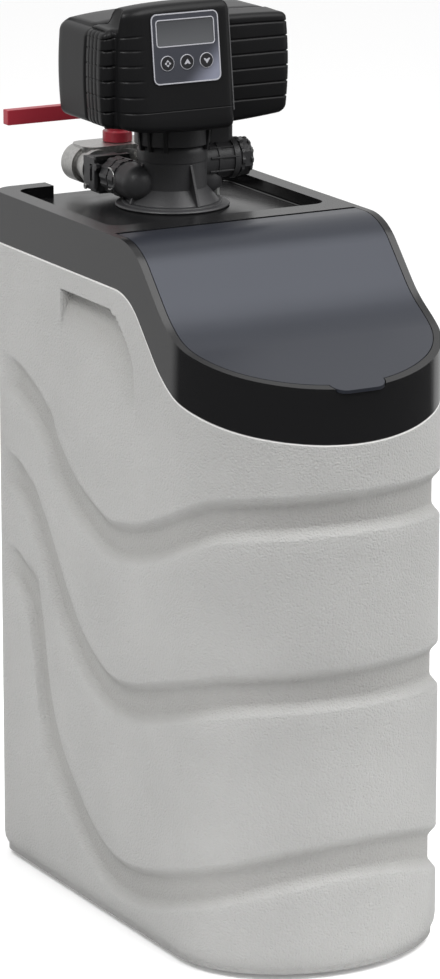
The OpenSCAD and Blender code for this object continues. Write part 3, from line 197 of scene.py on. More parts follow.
def lid_height(y):
    """Height of the rim's curve at a distance from the front: nose, hollow, slope, crest and flat."""
    end_y = crest_y - crest_r * math.sin(lid_slope)
    end_z = rim_z - crest_r * (1 - math.cos(lid_slope))
    low_y, low_z = end_y - slope_run, end_z - slope_run * math.tan(lid_slope)
    mid_y, mid_z = low_y - valley_r * math.sin(lid_slope), low_z + valley_r * math.cos(lid_slope)
    tip_y, tip_z = mid_y + valley_r * math.sin(lid_nose), mid_z - valley_r * math.cos(lid_nose)
    if y > crest_y:
        return rim_z
    if y > end_y:
        return rim_z - crest_r + math.sqrt(crest_r ** 2 - (y - crest_y) ** 2)
    if y > low_y:
        return end_z + (y - end_y) * math.tan(lid_slope)
    if y > tip_y:
        return mid_z - math.sqrt(valley_r ** 2 - (y - mid_y) ** 2)
    return tip_z + (y - tip_y) * math.tan(lid_nose)


def seam_height(y):
    """Height of the seam between the cabinet and its cover, below the rim's curve."""
    return lid_height(y - seam_forward) - seam_drop


def smooth_step(a, b, v):
    t = min(1.0, max(0.0, (v - a) / (b - a)))
    return t * t * (3 - 2 * t)


def quarter_turn(count):
    """Angles from 0 to 90 degrees in equal steps."""
    return [math.pi / 2 * k / count for k in range(count + 1)]


def through(points, v):
    """Smooth curve through a short list of given points."""
    xs = [p[0] for p in points]
    ys = [p[1] for p in points]
    if v <= xs[0]:
        return ys[0]
    if v >= xs[-1]:
        return ys[-1]
    i = max(k for k in range(len(xs) - 1) if xs[k] <= v)

    def slope(k):
        if k == 0 or k == len(xs) - 1:
            return 0.0
        return (ys[k + 1] - ys[k - 1]) / (xs[k + 1] - xs[k - 1])

    h = xs[i + 1] - xs[i]
    t = (v - xs[i]) / h
    return ((2 * t ** 3 - 3 * t ** 2 + 1) * ys[i] + (t ** 3 - 2 * t ** 2 + t) * h * slope(i)
            + (-2 * t ** 3 + 3 * t ** 2) * ys[i + 1] + (t ** 3 - t ** 2) * h * slope(i + 1))


def grid_mesh(name, rows, closed=False, smooth=True, keep=None):
    """Mesh from rows of points, each row as long as the others."""
    n = len(rows[0])
    points = [p for row in rows for p in row]
    last = n if closed else n - 1
    faces = []
    for r in range(len(rows) - 1):
        for c in range(last):
            a, b = r * n + c, r * n + (c + 1) % n
            if keep is None or keep(points[a], points[b + n]):
                faces.append((a, b, b + n, a + n))
    mesh = bpy.data.meshes.new(name)
    mesh.from_pydata(points, [], faces)
    mesh.polygons.foreach_set("use_smooth", [smooth] * len(mesh.polygons))
    mesh.update()
    return mesh


def add_piece(name, mesh, body, finish, slot, *stands_for):
    """Adds a mesh to the scene on its body, with its faces turned outward."""
    middle = sum((v.co for v in mesh.vertices), Vector()) / len(mesh.vertices)
    if sum(p.area * (p.center - middle).dot(p.normal) for p in mesh.polygons) < -1e-8:
        mesh.flip_normals()
    piece = bpy.data.objects.new(name, mesh)
    scene.collection.objects.link(piece)
    mesh.materials.clear()
    mesh.materials.append(finish)
    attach(piece, body)
    if stands_for:
        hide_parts(*stands_for)
    return piece


# middle lines of the grooves, as distance along the wall from the front's middle, and height
groove_lines = [
    [(0.0, 0.110), (0.06, 0.104), (0.129, 0.086), (0.225, 0.057), (0.270, 0.048), (0.312, 0.050),
     (0.349, 0.066), (0.387, 0.096), (0.415, 0.126), (0.433, 0.158), (0.446, 0.200), (0.459, 0.245),
     (0.475, 0.275), (0.511, 0.294)],
    [(0.0, 0.2695), (0.06, 0.268), (0.129, 0.261), (0.253, 0.225), (0.297, 0.219), (0.329, 0.225),
     (0.367, 0.246), (0.396, 0.274), (0.418, 0.302), (0.442, 0.334), (0.469, 0.364), (0.511, 0.384)],
    [(0.0, 0.4285), (0.06, 0.427), (0.129, 0.421), (0.171, 0.405), (0.223, 0.384), (0.267, 0.371),
     (0.312, 0.366), (0.353, 0.378), (0.379, 0.390), (0.410, 0.414), (0.432, 0.440), (0.467, 0.464),
     (0.511, 0.477)],
]
groove_depth, groove_floor, groove_flank = 0.0074, 0.0092, 0.0118
groove_fades, groove_gone = 0.490, 0.524
foot_round, seam_gap, wall, floor_thick = 0.023, 0.0004, 0.004, 0.005
grip_top, grip_low, grip_depth, grip_step = 0.580, 0.486, 0.0155, 0.0028
grip_front = [(grip_low, -0.054), (0.520, -0.053), (0.537, -0.050), (0.556, -0.036), (0.572, -0.019),
              (grip_top, -0.008)]
grip_rear, grip_rear_end = 0.0868, 0.0892


def groove_shape(v):
    """Depth of a groove at a distance from its middle line, as a part of its full depth."""
    return 1.0 - smooth_step(groove_floor, groove_floor + groove_flank, abs(v))


def grip_shape(y, z):
    """Depth of a hand recess: deep under its top edge, stepped at its front and running out at its foot."""
    front = through(grip_front, z)
    foot = grip_low + min(0.14, max(0.0, y + 0.050)) * 0.34
    if not foot < z < grip_top + 0.002:
        return 0.0
    depth = grip_depth * min(1.0, (z - foot) / (grip_top - foot)) ** 1.9
    step = smooth_step(grip_low, grip_low + 0.02, z) * (1 - smooth_step(front, front + 0.035, y))
    depth += grip_step * step
    edge = smooth_step(front - 0.0015, front + 0.0025, y) * (1 - smooth_step(grip_rear, grip_rear_end, y))
    return min(grip_depth, depth) * edge * (1 - smooth_step(grip_top - 0.0012, grip_top + 0.0004, z))


def cabinet_rows(inward):
    """Rows of the skin from the floor to the seam, moved inward, and how hollow each point is."""
    side = run_corner - corner_y
    runs = [np.arange(0, 0.525, 0.0035), np.linspace(0.525, run_all, 22),
            side + np.arange(0.0850, 0.0905, 0.0008), side + np.arange(-0.057, 0.002, 0.0016)]
    runs = sorted(set(np.round(np.concatenate(runs), 5)))
    runs = [-r for r in reversed(runs[1:])][1:] + runs
    steps = [0.0, 0.005, 0.008, 0.0095, 0.0111, 0.0127, 0.0143, 0.0159, 0.0175, 0.0191, 0.0210]
    steps = [-s for s in reversed(steps[1:])] + steps
    columns, hollows = [], []
    for run in runs:
        x, y, nx, ny = outline(run)
        d = abs(run)
        fade = 1 - smooth_step(groove_fades, groove_gone, d)
        top = seam_height(y) - seam_gap
        column = [(foot_round * (1 - math.sin(a)), foot_round * (1 - math.cos(a))) for a in quarter_turn(6)]
        below = foot_round
        for line in groove_lines:
            middle = through(line, d)
            rise = (through(line, d + 0.002) - through(line, d - 0.002)) / 0.004
            stretch = math.sqrt(1 + rise * rise)
            start = middle + steps[0] * stretch
            column += [(0.0, below + (start - below) * k / 7) for k in range(1, 7)]
            column += [(groove_depth * fade * groove_shape(s), middle + s * stretch) for s in steps]
            below = middle + steps[-1] * stretch
        ceiling, roof = min(0.576, top - 0.020), min(0.5815, top - 0.010)
        for low, high, count in ((below, ceiling, 48), (ceiling, roof, 14), (roof, top - 0.0018, 6)):
            heights = [low + (high - low) * k / count for k in range(1, count + 1)]
            column += [(grip_shape(y, z), z) for z in heights]
        column += [(0.0005, top - 0.0007), (0.0018, top)]
        columns.append([(x - nx * (inset + inward), y - ny * (inset + inward), z) for inset, z in column])
        hollows.append([min(1.0, inset / groove_depth) if foot_round < z < top - 0.003 else 0.0
                        for inset, z in column])
    return [list(row) for row in zip(*columns)], [list(row) for row in zip(*hollows)]


def cabinet_mesh():
    """Skin of the box, outside and inside, with a mark on each point of how hollow it is, which sets the
    painted shade.
    """
    outer, hollows = cabinet_rows(0.0)
    inner = cabinet_rows(wall)[0]
    floor_row = [(x, y, floor_thick) for x, y, z in inner[6]]
    inner = [floor_row] + [[(x, y, max(z, floor_thick)) for x, y, z in row] for row in inner[:6:-3][::-1]]
    middle_low = [[(0.0, y * 0.3, 0.0) for x, y, z in outer[0]]]
    middle_up = [[(0.0, y * 0.3, floor_thick) for x, y, z in floor_row]]
    rows = middle_low + outer + list(reversed(inner)) + middle_up
    mesh = grid_mesh("cabinet_skin", rows, closed=True)
    values = [0.0] * len(mesh.vertices)
    for r, row in enumerate(hollows):
        for c, value in enumerate(row):
            values[(r + 1) * len(row) + c] = value
    mesh.attributes.new("hollow", "FLOAT", "POINT").data.foreach_set("value", values)
    return mesh


def new_group(name, inputs, outputs):
    """Node group with its sockets, and the nodes that hold what goes in and comes out."""
    group = bpy.data.node_groups.new(name, "ShaderNodeTree")
    for way, sockets in (("INPUT", inputs), ("OUTPUT", outputs)):
        for socket, kind in sockets.items():
            group.interface.new_socket(socket, in_out=way, socket_type="NodeSocket" + kind)
    return group, group.nodes.new("NodeGroupInput"), group.nodes.new("NodeGroupOutput")


# leathery grain of the moulded box: flat pebbles with fine pits between them
grain, given, result = new_group("leather_grain", {"Scale": "Float", "Color": "Color"},
                                 {"Color": "Color", "Height": "Float"})
place = add_node(grain, "TexCoord", {}).outputs["Object"]
cells = add_node(grain, "TexVoronoi", {"Vector": place, "Scale": given.outputs["Scale"]}, feature="SMOOTH_F1")
pebbles = add_node(grain, "TexNoise", {"Vector": place, "Scale": given.outputs["Scale"], "Detail": 3})
clouds = add_node(grain, "TexNoise", {"Vector": place, "Scale": 9, "Detail": 2})
pits = add_node(grain, "Math", {0: pebbles.outputs["Fac"], 1: cells.outputs["Distance"]},
                operation="SUBTRACT")
shade = add_node(grain, "MapRange", {"Value": clouds.outputs["Fac"], "From Min": 0.3, "From Max": 0.7,
                                     "To Min": 0.96, "To Max": 1.04})
shaded = add_node(grain, "VectorMath", {0: given.outputs["Color"], "Scale": shade.outputs["Result"]},
                  operation="SCALE")
set_sockets(grain, result, {"Color": shaded.outputs["Vector"], "Height": pits.outputs[0]})


def grained(name, colour, roughness, scale, bump, level=0.5, depth=0.0004):
    """Moulded finish with a grain of its own scale and depth."""
    finish, tree, bsdf = new_finish(name)
    skin = add_node(tree, "Group", {"Scale": scale, "Color": (*colour, 1)}, node_tree=grain)
    raised = add_node(tree, "Bump", {"Strength": bump, "Distance": depth, "Height": skin.outputs["Height"]})
    set_sockets(tree, bsdf, {"Base Color": skin.outputs["Color"], "Normal": raised.outputs["Normal"],
                             "Roughness": roughness, "Specular IOR Level": level})
    return finish


cabinet_finish = grained("grained_polyethylene", (0.42, 0.418, 0.410), 0.55, 560, 1.0, depth=0.0008)
tree = cabinet_finish.node_tree
bsdf = tree.nodes["Principled BSDF"]
# painted shade: the base colour is darkened by up to 14 percent where the skin sinks into a groove or the
# hand recess
hollow = add_node(tree, "Attribute", {}, attribute_name="hollow")
painted_groove_shade = add_node(tree, "Mix", {"Factor": hollow.outputs["Fac"], "B": (0.86, 0.855, 0.845, 1),
                              "A": bsdf.inputs["Base Color"].links[0].from_socket},
                data_type="RGBA", blend_type="MULTIPLY")
set_sockets(tree, bsdf, {"Base Color": painted_groove_shade.outputs["Result"]})
add_piece("cabinet_skin", cabinet_mesh(), "base", cabinet_finish, "cabinet", "cabinet")


def cabinet_lip():
    """Thin edge of the box under the cover, made pale as a painted highlight."""
    profile = ((0.0006, 0.0024), (0.0, 0.0019), (0.0, 0.0009), (0.0014, 0.0003))
    rows = [[] for step in profile]
    for run in np.linspace(-run_all, run_all, 481)[:-1]:
        x, y, nx, ny = outline(run)
        top = seam_height(y)
        for row, (inset, drop) in zip(rows, profile):
            row.append((x - nx * inset, y - ny * inset, top - drop))
    return grid_mesh("cabinet_lip", rows, closed=True)


# painted highlight: the lip is far paler than the box, standing in for the bright line of light along the
# seam
lip_highlight_finish = grained("painted_lip_highlight", (0.74, 0.735, 0.72), 0.5, 640, 0.2)
add_piece("cabinet_lip", cabinet_lip(), "base", lip_highlight_finish, "cabinet")


# Top cover. A glossy black moulding that caps the cabinet: a rim round the lid, a hinge seat and a
# recessed deck with a raised seat for the valve's collar and a gap for the pipes at the rear. A fine
# moulded bead runs along the foot of the deck's wall.
sharp_angle = math.radians(32)


def dress(finish, *names, soft=0.0):
    """Gives solids their finish and, where asked, rounds their edges."""
    for name in names:
        for piece in nodes[name] if isinstance(nodes[name], list) else [nodes[name]]:
            piece.data.materials.clear()
            piece.data.materials.append(finish)
            if soft:
                weld = piece.modifiers.new("weld", "WELD")
                weld.merge_threshold = 0.00002
                bevel = piece.modifiers.new("round", "BEVEL")
                bevel.width = soft
                bevel.segments = 3
                bevel.limit_method = "ANGLE"
                bevel.angle_limit = sharp_angle
                bevel.use_clamp_overlap = True
                normals = piece.modifiers.new("normals", "WEIGHTED_NORMAL")
                normals.keep_sharp = False


# level faces are duller than upright ones
cover_finish = grained("gloss_black", (0.0085, 0.0085, 0.009), 0.2, 260, 0.004)
tree = cover_finish.node_tree
facing = add_node(tree, "NewGeometry", {})
split = add_node(tree, "SeparateXYZ", {"Vector": facing.outputs["True Normal"]})
duller = add_node(tree, "MapRange", {"Value": split.outputs["Z"], "From Min": 0.3, "From Max": 0.9,
                                     "To Min": 0.10, "To Max": 0.27})
set_sockets(tree, tree.nodes["Principled BSDF"], {"Roughness": duller.outputs["Result"]})
dress(cover_finish, "top_cover", soft=0.0018)
bead_x, bead_rear, bead_front, bead_turn, bead_r = 0.1098, 0.2128, 0.0242, 0.0118, 0.0013
bead_z, pipe_gap = 0.6362, 0.075


def deck_bead():
    """Round bead from one side of the pipes' gap, round the deck's four corners, to the other."""
    path = [(pipe_gap, bead_rear, 0.0, 1.0)]
    for x, y, start in ((1, 1, 90), (1, -1, 0), (-1, -1, -90), (-1, 1, -180)):
        turn_x = x * (bead_x - bead_turn)
        turn_y = bead_rear - bead_turn if y > 0 else bead_front + bead_turn
        for k in range(9):
            a = math.radians(start - 90 * k / 8)
            path.append((turn_x + bead_turn * math.cos(a), turn_y + bead_turn * math.sin(a),
                         math.cos(a), math.sin(a)))
    path.append((-pipe_gap, bead_rear, 0.0, 1.0))
    rows = []
    for k, (x, y, nx, ny) in enumerate(path):
        r = 0.0001 if k in (0, len(path) - 1) else bead_r
        ring = [(r * math.cos(math.pi * j / 5), r * math.sin(math.pi * j / 5)) for j in range(10)]
        rows.append([(x + nx * out, y + ny * out, bead_z + up) for out, up in ring])
    return grid_mesh("deck_bead", rows, closed=True)


add_piece("deck_bead", deck_bead(), "base", cover_finish, "cover_black")


# Salt lid. One slate-coloured moulded sheet that follows the rim's curve, with a finger tab at the
# front and a barrel along its rear edge, hung on two steel pins.
lid_finish = grained("slate_lid", (0.0185, 0.0202, 0.0258), 0.32, 220, 0.03)
lid_finish.node_tree.nodes["Principled BSDF"].inputs["Specular Tint"].default_value = (0.84, 0.88, 1.0, 1)
dress(lid_finish, "salt_lid", soft=0.0012)

# brushed metal: streaks along one direction, in tone and in gloss
brushed, given, result = new_group("brushed_metal",
                                   {"Color": "Color", "Stretch": "Vector", "Roughness": "Float"},
                                   {"Color": "Color", "Roughness": "Float", "Height": "Float"})
place = add_node(brushed, "TexCoord", {}).outputs["Object"]
stretched = add_node(brushed, "VectorMath", {0: place, 1: given.outputs["Stretch"]}, operation="MULTIPLY")
streaks = add_node(brushed, "TexNoise", {"Vector": stretched.outputs["Vector"], "Scale": 1.0, "Detail": 4})
tone = add_node(brushed, "MapRange", {"Value": streaks.outputs["Fac"], "From Min": 0.3, "From Max": 0.7,
                                      "To Min": 0.8, "To Max": 1.1})
gloss = add_node(brushed, "Math", {0: given.outputs["Roughness"], 1: tone.outputs["Result"]},
                 operation="MULTIPLY")
toned = add_node(brushed, "VectorMath", {0: given.outputs["Color"], "Scale": tone.outputs["Result"]},
                 operation="SCALE")
set_sockets(brushed, result, {"Color": toned.outputs["Vector"], "Roughness": gloss.outputs[0],
                              "Height": streaks.outputs["Fac"]})


def metal(name, colour, roughness, stretch=(900, 900, 900), bump=0.1):
    """Metal finish with fine streaks, close together where the stretch is large."""
    finish, tree, bsdf = new_finish(name)
    skin = add_node(tree, "Group", {"Color": (*colour, 1), "Stretch": stretch, "Roughness": roughness},
                    node_tree=brushed)
    raised = add_node(tree, "Bump", {"Strength": bump, "Distance": 0.0002, "Height": skin.outputs["Height"]})
    set_sockets(tree, bsdf, {"Base Color": skin.outputs["Color"], "Roughness": skin.outputs["Roughness"],
                             "Normal": raised.outputs["Normal"], "Metallic": 1.0})
    return finish


steel_finish = metal("drawn_steel", (0.50, 0.50, 0.49), 0.3)
dress(steel_finish, "hinge_pins")


# Resin vessel. A pressure vessel wound from glass fibre on a moulded liner, standing in a rubber
# boot. It holds amber softening resin round a white riser tube with a slotted basket at each end.
def two_tone(tree, bsdf, factor, first, second, roughness):
    """Colours a finish from one tone to another by a factor."""
    tint = add_node(tree, "Mix", {"Factor": factor, "A": (*first, 1), "B": (*second, 1)}, data_type="RGBA")
    set_sockets(tree, bsdf, {"Base Color": tint.outputs["Result"], "Roughness": roughness})


wound_finish, tree, bsdf = new_finish("wound_glass_fibre")
place = add_node(tree, "TexCoord", {}).outputs["Object"]
strands = []
for tilt in (0.9, -0.9):
    turn = add_node(tree, "Mapping", {"Vector": place, "Rotation": (tilt, tilt, 0)})
    wave = add_node(tree, "TexWave", {"Vector": turn.outputs["Vector"], "Scale": 60, "Distortion": 1.5})
    strands.append(wave.outputs["Fac"])
weave = add_node(tree, "Math", {0: strands[0], 1: strands[1]}, operation="MAXIMUM")
two_tone(tree, bsdf, weave.outputs[0], (0.05, 0.11, 0.17), (0.09, 0.19, 0.28), 0.35)
dress(wound_finish, "pressure_vessel")
rubber_finish = grained("black_rubber", (0.014, 0.014, 0.014), 0.75, 500, 0.2)
dress(rubber_finish, "vessel_boot")
resin_finish, tree, bsdf = new_finish("resin_beads")
place = add_node(tree, "TexCoord", {}).outputs["Object"]
beads = add_node(tree, "TexVoronoi", {"Vector": place, "Scale": 900})
two_tone(tree, bsdf, beads.outputs["Distance"], (0.50, 0.24, 0.06), (0.20, 0.08, 0.02), 0.3)
dress(resin_finish, "resin_bed")
white_finish = grained("white_plastic", (0.62, 0.62, 0.60), 0.45, 350, 0.08)
dress(white_finish, "riser_tube", "lower_basket", "upper_basket")


# Control valve. One glass-filled black moulding: a flared column with two flow ports and the injector
# housing, screwed into the vessel's neck over a flat collar. Ribs stiffen the column's shoulder under
# the head, and seals and spacers are stacked inside round the brass piston.
valve_x, valve_y, valve_z = 0.0, 0.115, 0.646
valve_finish = grained("filled_nylon", (0.041, 0.041, 0.043), 0.42, 700, 0.25)
dress(valve_finish, "valve_body", "neck_collar", "end_plug", soft=0.0012)
dress(rubber_finish, "neck_oring", "seal_rings")
dress(white_finish, "spacer_rings")


def add_sleeve(name, along, centre, profile, flutes=0, depth=0.0):
    """Black sleeve turned about the X, Y or Z line through a point, from a profile of reach and radius."""
    rows = []
    for reach, radius in profile:
        row = []
        for k in range(72):
            a = 2 * math.pi * k / 72
            r = radius - (depth if (k * flutes // 36) % 2 else 0.0)
            c, s = r * math.cos(a), r * math.sin(a)
            out = {"x": (reach, c, s), "y": (s, reach, c), "z": (c, s, reach)}[along]
            row.append(tuple(p + o for p, o in zip(centre, out)))
        rows.append(row)
    mesh = grid_mesh(name, rows, closed=True)
    mesh.set_sharp_from_angle(angle=sharp_angle)
    add_piece(name, mesh, "base", valve_finish, "valve_black")


def add_bars(name, bars, finish, edge):
    """Bars of eight corners each, low four and then high four, in millimetres from the valve's seat."""
    sides = ((0, 3, 2, 1), (4, 5, 6, 7), (0, 1, 5, 4), (1, 2, 6, 5), (2, 3, 7, 6), (3, 0, 4, 7))
    points, faces = [], []
    for bar in bars:
        n = len(points)
        points += [(valve_x + x / 1000, valve_y + y / 1000, valve_z + z / 1000) for x, y, z in bar]
        faces += [tuple(n + k for k in side) for side in sides]
    mesh = bpy.data.meshes.new(name)
    mesh.from_pydata(points, [], faces)
    mesh.update()
    piece = add_piece(name, mesh, "base", finish, "valve_black")
    bevel = piece.modifiers.new("round", "BEVEL")
    bevel.width = edge
    bevel.segments = 2


def block(x0, x1, y0, y1, z0, z1):
    """Eight corners of a straight bar."""
    return [(x, y, z) for z in (z0, z1) for x, y in ((x0, y0), (x1, y0), (x1, y1), (x0, y1))]


def pedestal_rib(turn):
    """Upright rib at a turn round the column, wider at its head."""
    c, s = math.cos(math.radians(turn)), math.sin(math.radians(turn))
    root, foot, head, half, low, high = 32, 35.5, 40, 1.7, 49, 80
    corners = [(x, y, z) for out, z in ((foot, low), (head, high))
               for x, y in ((root, -half), (out, -half), (out, half), (root, half))]
    return [(x * c - y * s, x * s + y * c, z) for x, y, z in corners]


shoulder = [(0.0375, 0.0318), (0.0385, 0.0326), (0.0465, 0.0326), (0.0485, 0.0324), (0.0503, 0.0318),
            (0.0518, 0.0308), (0.0530, 0.0295), (0.0538, 0.0279)]
add_sleeve("column_shoulder", "z", (valve_x, valve_y, valve_z), shoulder)
# painted shade: the ribs under the head get a darker copy of the nylon finish, standing in for the head's
# shadow
rib_shade_finish = grained("painted_shade_nylon", (0.012, 0.012, 0.013), 0.5, 700, 0.25)
add_bars("pedestal_ribs", [pedestal_rib(turn) for turn in (186, 206, 232, 308, 344)], rib_shade_finish, 0.0006)
brass_finish = metal("turned_brass", (0.62, 0.42, 0.17), 0.3, (200, 200, 4000))
dress(brass_finish, "piston")


# Injector. A banded black housing with an eight-sided cap, held by three screws over a gasket, and
# the white nozzle behind it. The brass brine stem stands in the post beside the column, and a coil of
# steel wire round it shortens as the stem is pressed; here the coil is built at one fixed length.
injector_at = (valve_x, valve_y, 0.680)
bands = [(0.0395, 0.0178), (0.0398, 0.0190), (0.0432, 0.0190), (0.0435, 0.0178), (0.0560, 0.0178),
         (0.0563, 0.0197), (0.0618, 0.0197), (0.0620, 0.0178)]
flange = [(0.0642, 0.0160), (0.0644, 0.0188), (0.0672, 0.0188), (0.0674, 0.0160)]
crown_ring = [(0.0738, 0.0150), (0.0740, 0.0180), (0.0762, 0.0180), (0.0764, 0.0150)]
dress(valve_finish, "injector_cap", soft=0.001)
add_sleeve("injector_bands", "x", injector_at, bands)
add_sleeve("cap_flange", "x", injector_at, flange, 12, 0.0009)
add_sleeve("cap_crown", "x", injector_at, crown_ring, 12, 0.0012)
ridges = [block(31, 61, y - 1.9, y + 2, z - 0.8, z + 0.8)
          for z, y in ((38.0, -17.6), (25.0, -15.2), (46.5, -12.6))]
add_bars("injector_ridges", ridges, valve_finish, 0.0004)
dress(rubber_finish, "cap_gasket")
dress(steel_finish, "cap_screws")
dress(brass_finish, "brine_stem")
dress(white_finish, "injector_nozzle")

spring_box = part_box("brine_spring")
spring_turns, spring_wire, spring_steps = 5, 0.0008, 120
post_x, post_y = [(a + b) / 2 for a, b in zip(spring_box[0][:2], spring_box[1][:2])]
coil_r = (spring_box[1][0] - spring_box[0][0]) / 2 - spring_wire
spring_low, spring_high = spring_box[0][2] + spring_wire, spring_box[1][2] - spring_wire


def coil_spring():
    """Coil round the stem, from the post's bore up to the stem's collar."""
    rows = []
    for k in range(spring_steps + 1):
        a = 2 * math.pi * spring_turns * k / spring_steps
        middle = spring_low + (spring_high - spring_low) * k / spring_steps
        wire = 0.00005 if k in (0, spring_steps) else spring_wire
        ring = [(wire * math.cos(math.pi * j / 4), wire * math.sin(math.pi * j / 4)) for j in range(8)]
        rows.append([(post_x + (coil_r + out) * math.cos(a), post_y + (coil_r + out) * math.sin(a),
                      middle + up) for out, up in ring])
    return grid_mesh("stem_spring", rows, closed=True)


stem_spring = add_piece("stem_spring", coil_spring(), "base", steel_finish, "steel", "brine_spring")
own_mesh(stem_spring)


# Brine line. A black elbow and a pale tube run from the valve to the brine well, a slotted pipe that
# keeps the pickup and its float clear of the salt. Drain and overflow end in white barbs.
dress(valve_finish, "brine_elbow", soft=0.0005)
dress(white_finish, "drain_elbow", "overflow_elbow", soft=0.0005)
tube_finish = grained("brine_tube_skin", (0.42, 0.43, 0.42), 0.35, 300, 0.05)
dress(tube_finish, "brine_tube")
well_finish = grained("well_pipe", (0.48, 0.48, 0.47), 0.5, 400, 0.1)
dress(well_finish, "brine_well", "well_cap", "brine_pickup")
float_finish = grained("orange_float", (0.55, 0.16, 0.03), 0.4, 400, 0.1)
dress(float_finish, "brine_float")


# Couplings. Two short black tubes with fluted collars join the valve's ports to the bypass. A framed
# black clip with a bolt and a steel wire ring hold each one. A white paddle wheel counts the flow.
port_x, port_z = 0.034, 0.664
wire_r, bow_r, bow_y, bow_z, bow_x = 0.0008, 0.0100, 0.1375, 0.666, 0.0535
bolt_y, bolt_z = 0.1665, 0.672
dress(steel_finish, "wire_clips", "clip_screws", soft=0.0004)
dress(valve_finish, "port_couplings", "coupling_clips", soft=0.001)
dress(white_finish, "flow_turbine")
rear_collar = [(0.0335, 0.0150), (0.0337, 0.0178), (0.0465, 0.0178), (0.0468, 0.0150)]
front_collar = [(0.0200, 0.0166), (0.0203, 0.0184), (0.0300, 0.0184), (0.0303, 0.0162), (0.0330, 0.0162)]
add_sleeve("left_collar", "y", (-port_x, valve_y, port_z), front_collar + rear_collar, 12, 0.0009)
add_sleeve("right_collar", "y", (port_x, valve_y, port_z), rear_collar, 12, 0.0009)


def wire_end(name, x):
    """Open bow of a spring wire that hooks over the collar on the coupling's outer side."""
    rows = []
    for k in range(31):
        a = math.radians(-100 + 200 * k / 30)
        row = []
        for j in range(8):
            t = 2 * math.pi * j / 8
            r = bow_r + wire_r * math.cos(t)
            row.append((x + wire_r * math.sin(t), bow_y - r * math.cos(a), bow_z + r * math.sin(a)))
        rows.append(row)
    return grid_mesh(name, rows, closed=True)


bolt = [(-0.0200, 0.0002), (-0.0198, 0.0036), (-0.0160, 0.0036), (-0.0158, 0.0019), (-0.0080, 0.0019),
        (-0.0078, 0.0035), (-0.0040, 0.0035), (-0.0038, 0.0019), (0.0060, 0.0019)]
frames = []
for side, hand in ((-1, "left"), (1, "right")):
    name = "wire_end_" + hand
    add_piece(name, wire_end(name, bow_x * side), "base", steel_finish, "steel")
    add_sleeve("clip_bolt_" + hand, "x", (port_x * side, bolt_y, bolt_z), bolt, 6, 0.0003)
    x = 1000 * port_x * side
    frames += [block(x - 18, x + 18, 53, 58, 31, 35.5), block(x - 19, x - 15, 54, 59, 5, 33),
               block(x + 15, x + 19, 54, 59, 9, 33), block(x - 19, x + 19, 62, 66, 22, 25),
               block(x - 12, x + 8, 57, 76, -1, 3)]
add_bars("clip_frames", frames, valve_finish, 0.0007)


# Bypass. A cast and brushed stainless body with two pipe sockets, discs and a cross bar. The red
# lever sits on a hub above the plug that it turns, held by one screw.
bypass_finish = metal("cast_stainless", (0.56, 0.555, 0.54), 0.42, (350, 350, 350), 0.3)
dress(bypass_finish, "bypass_body", soft=0.0008)
dress(steel_finish, "bypass_plug", "lever_screw")
lever_finish = grained("red_lever", (0.33, 0.025, 0.040), 0.35, 500, 0.12)
dress(lever_finish, "bypass_lever", soft=0.0014)


# Head base and drive. A black base on the valve's flange carries a steel plate with the gear motor.
# The motor's pinion turns a large white gear that screws the piston's rod up and down.
dress(valve_finish, "head_base", "power_inlet", soft=0.0008)
dress(steel_finish, "base_screws", "motor_plate", "plate_screws")
motor_finish = metal("zinc_can", (0.45, 0.45, 0.44), 0.35, (600, 600, 60))
dress(motor_finish, "gear_motor")
dress(brass_finish, "drive_pinion")
dress(white_finish, "drive_gear")


# Valve head, front cover. A moulded black cover with a raised display block under a hood, level
# grooves across its wings, small square tiles on its left side and large round edges. A fine bead
# runs down the right edge of the block, paler grey as a painted highlight.
head_low, head_top, head_half = 0.081, 0.1753, 0.0975
wing_front, part_line, parting_depth = -0.050, -0.0165, 0.0009
left_round, right_round = 0.007, 0.009
face_front, face_angle, face_middle = -0.0632, math.radians(7), 0.152
face_tilt = math.tan(face_angle)
block_left, block_wide, block_deep = -0.058, 0.026, wing_front - face_front
block_right, block_round, hood_rise = 0.022, 0.007, 0.0165
tile_lines, tile_depth, side_rib = (-0.0231, -0.0301, -0.0371), 0.00025, 0.0003
rib_levels, rib_half, bend_z = (0.096, 0.110, 0.1245, 0.138, 0.152, 0.166), 0.0020, 0.1538
rib_profile = ((-rib_half, 0.0), (-0.0009, 0.05), (-0.0005, 0.9), (0.0, 1.0), (0.0005, 0.9), (0.0009, 0.05),
               (rib_half, 0.0))
hood_fall = ((0.2, 1.0), (0.4, 0.99), (0.55, 0.9), (0.7, 0.66), (0.85, 0.28), (0.98, 0.02))
top_rise, top_lip = 0.0006, 0.0004


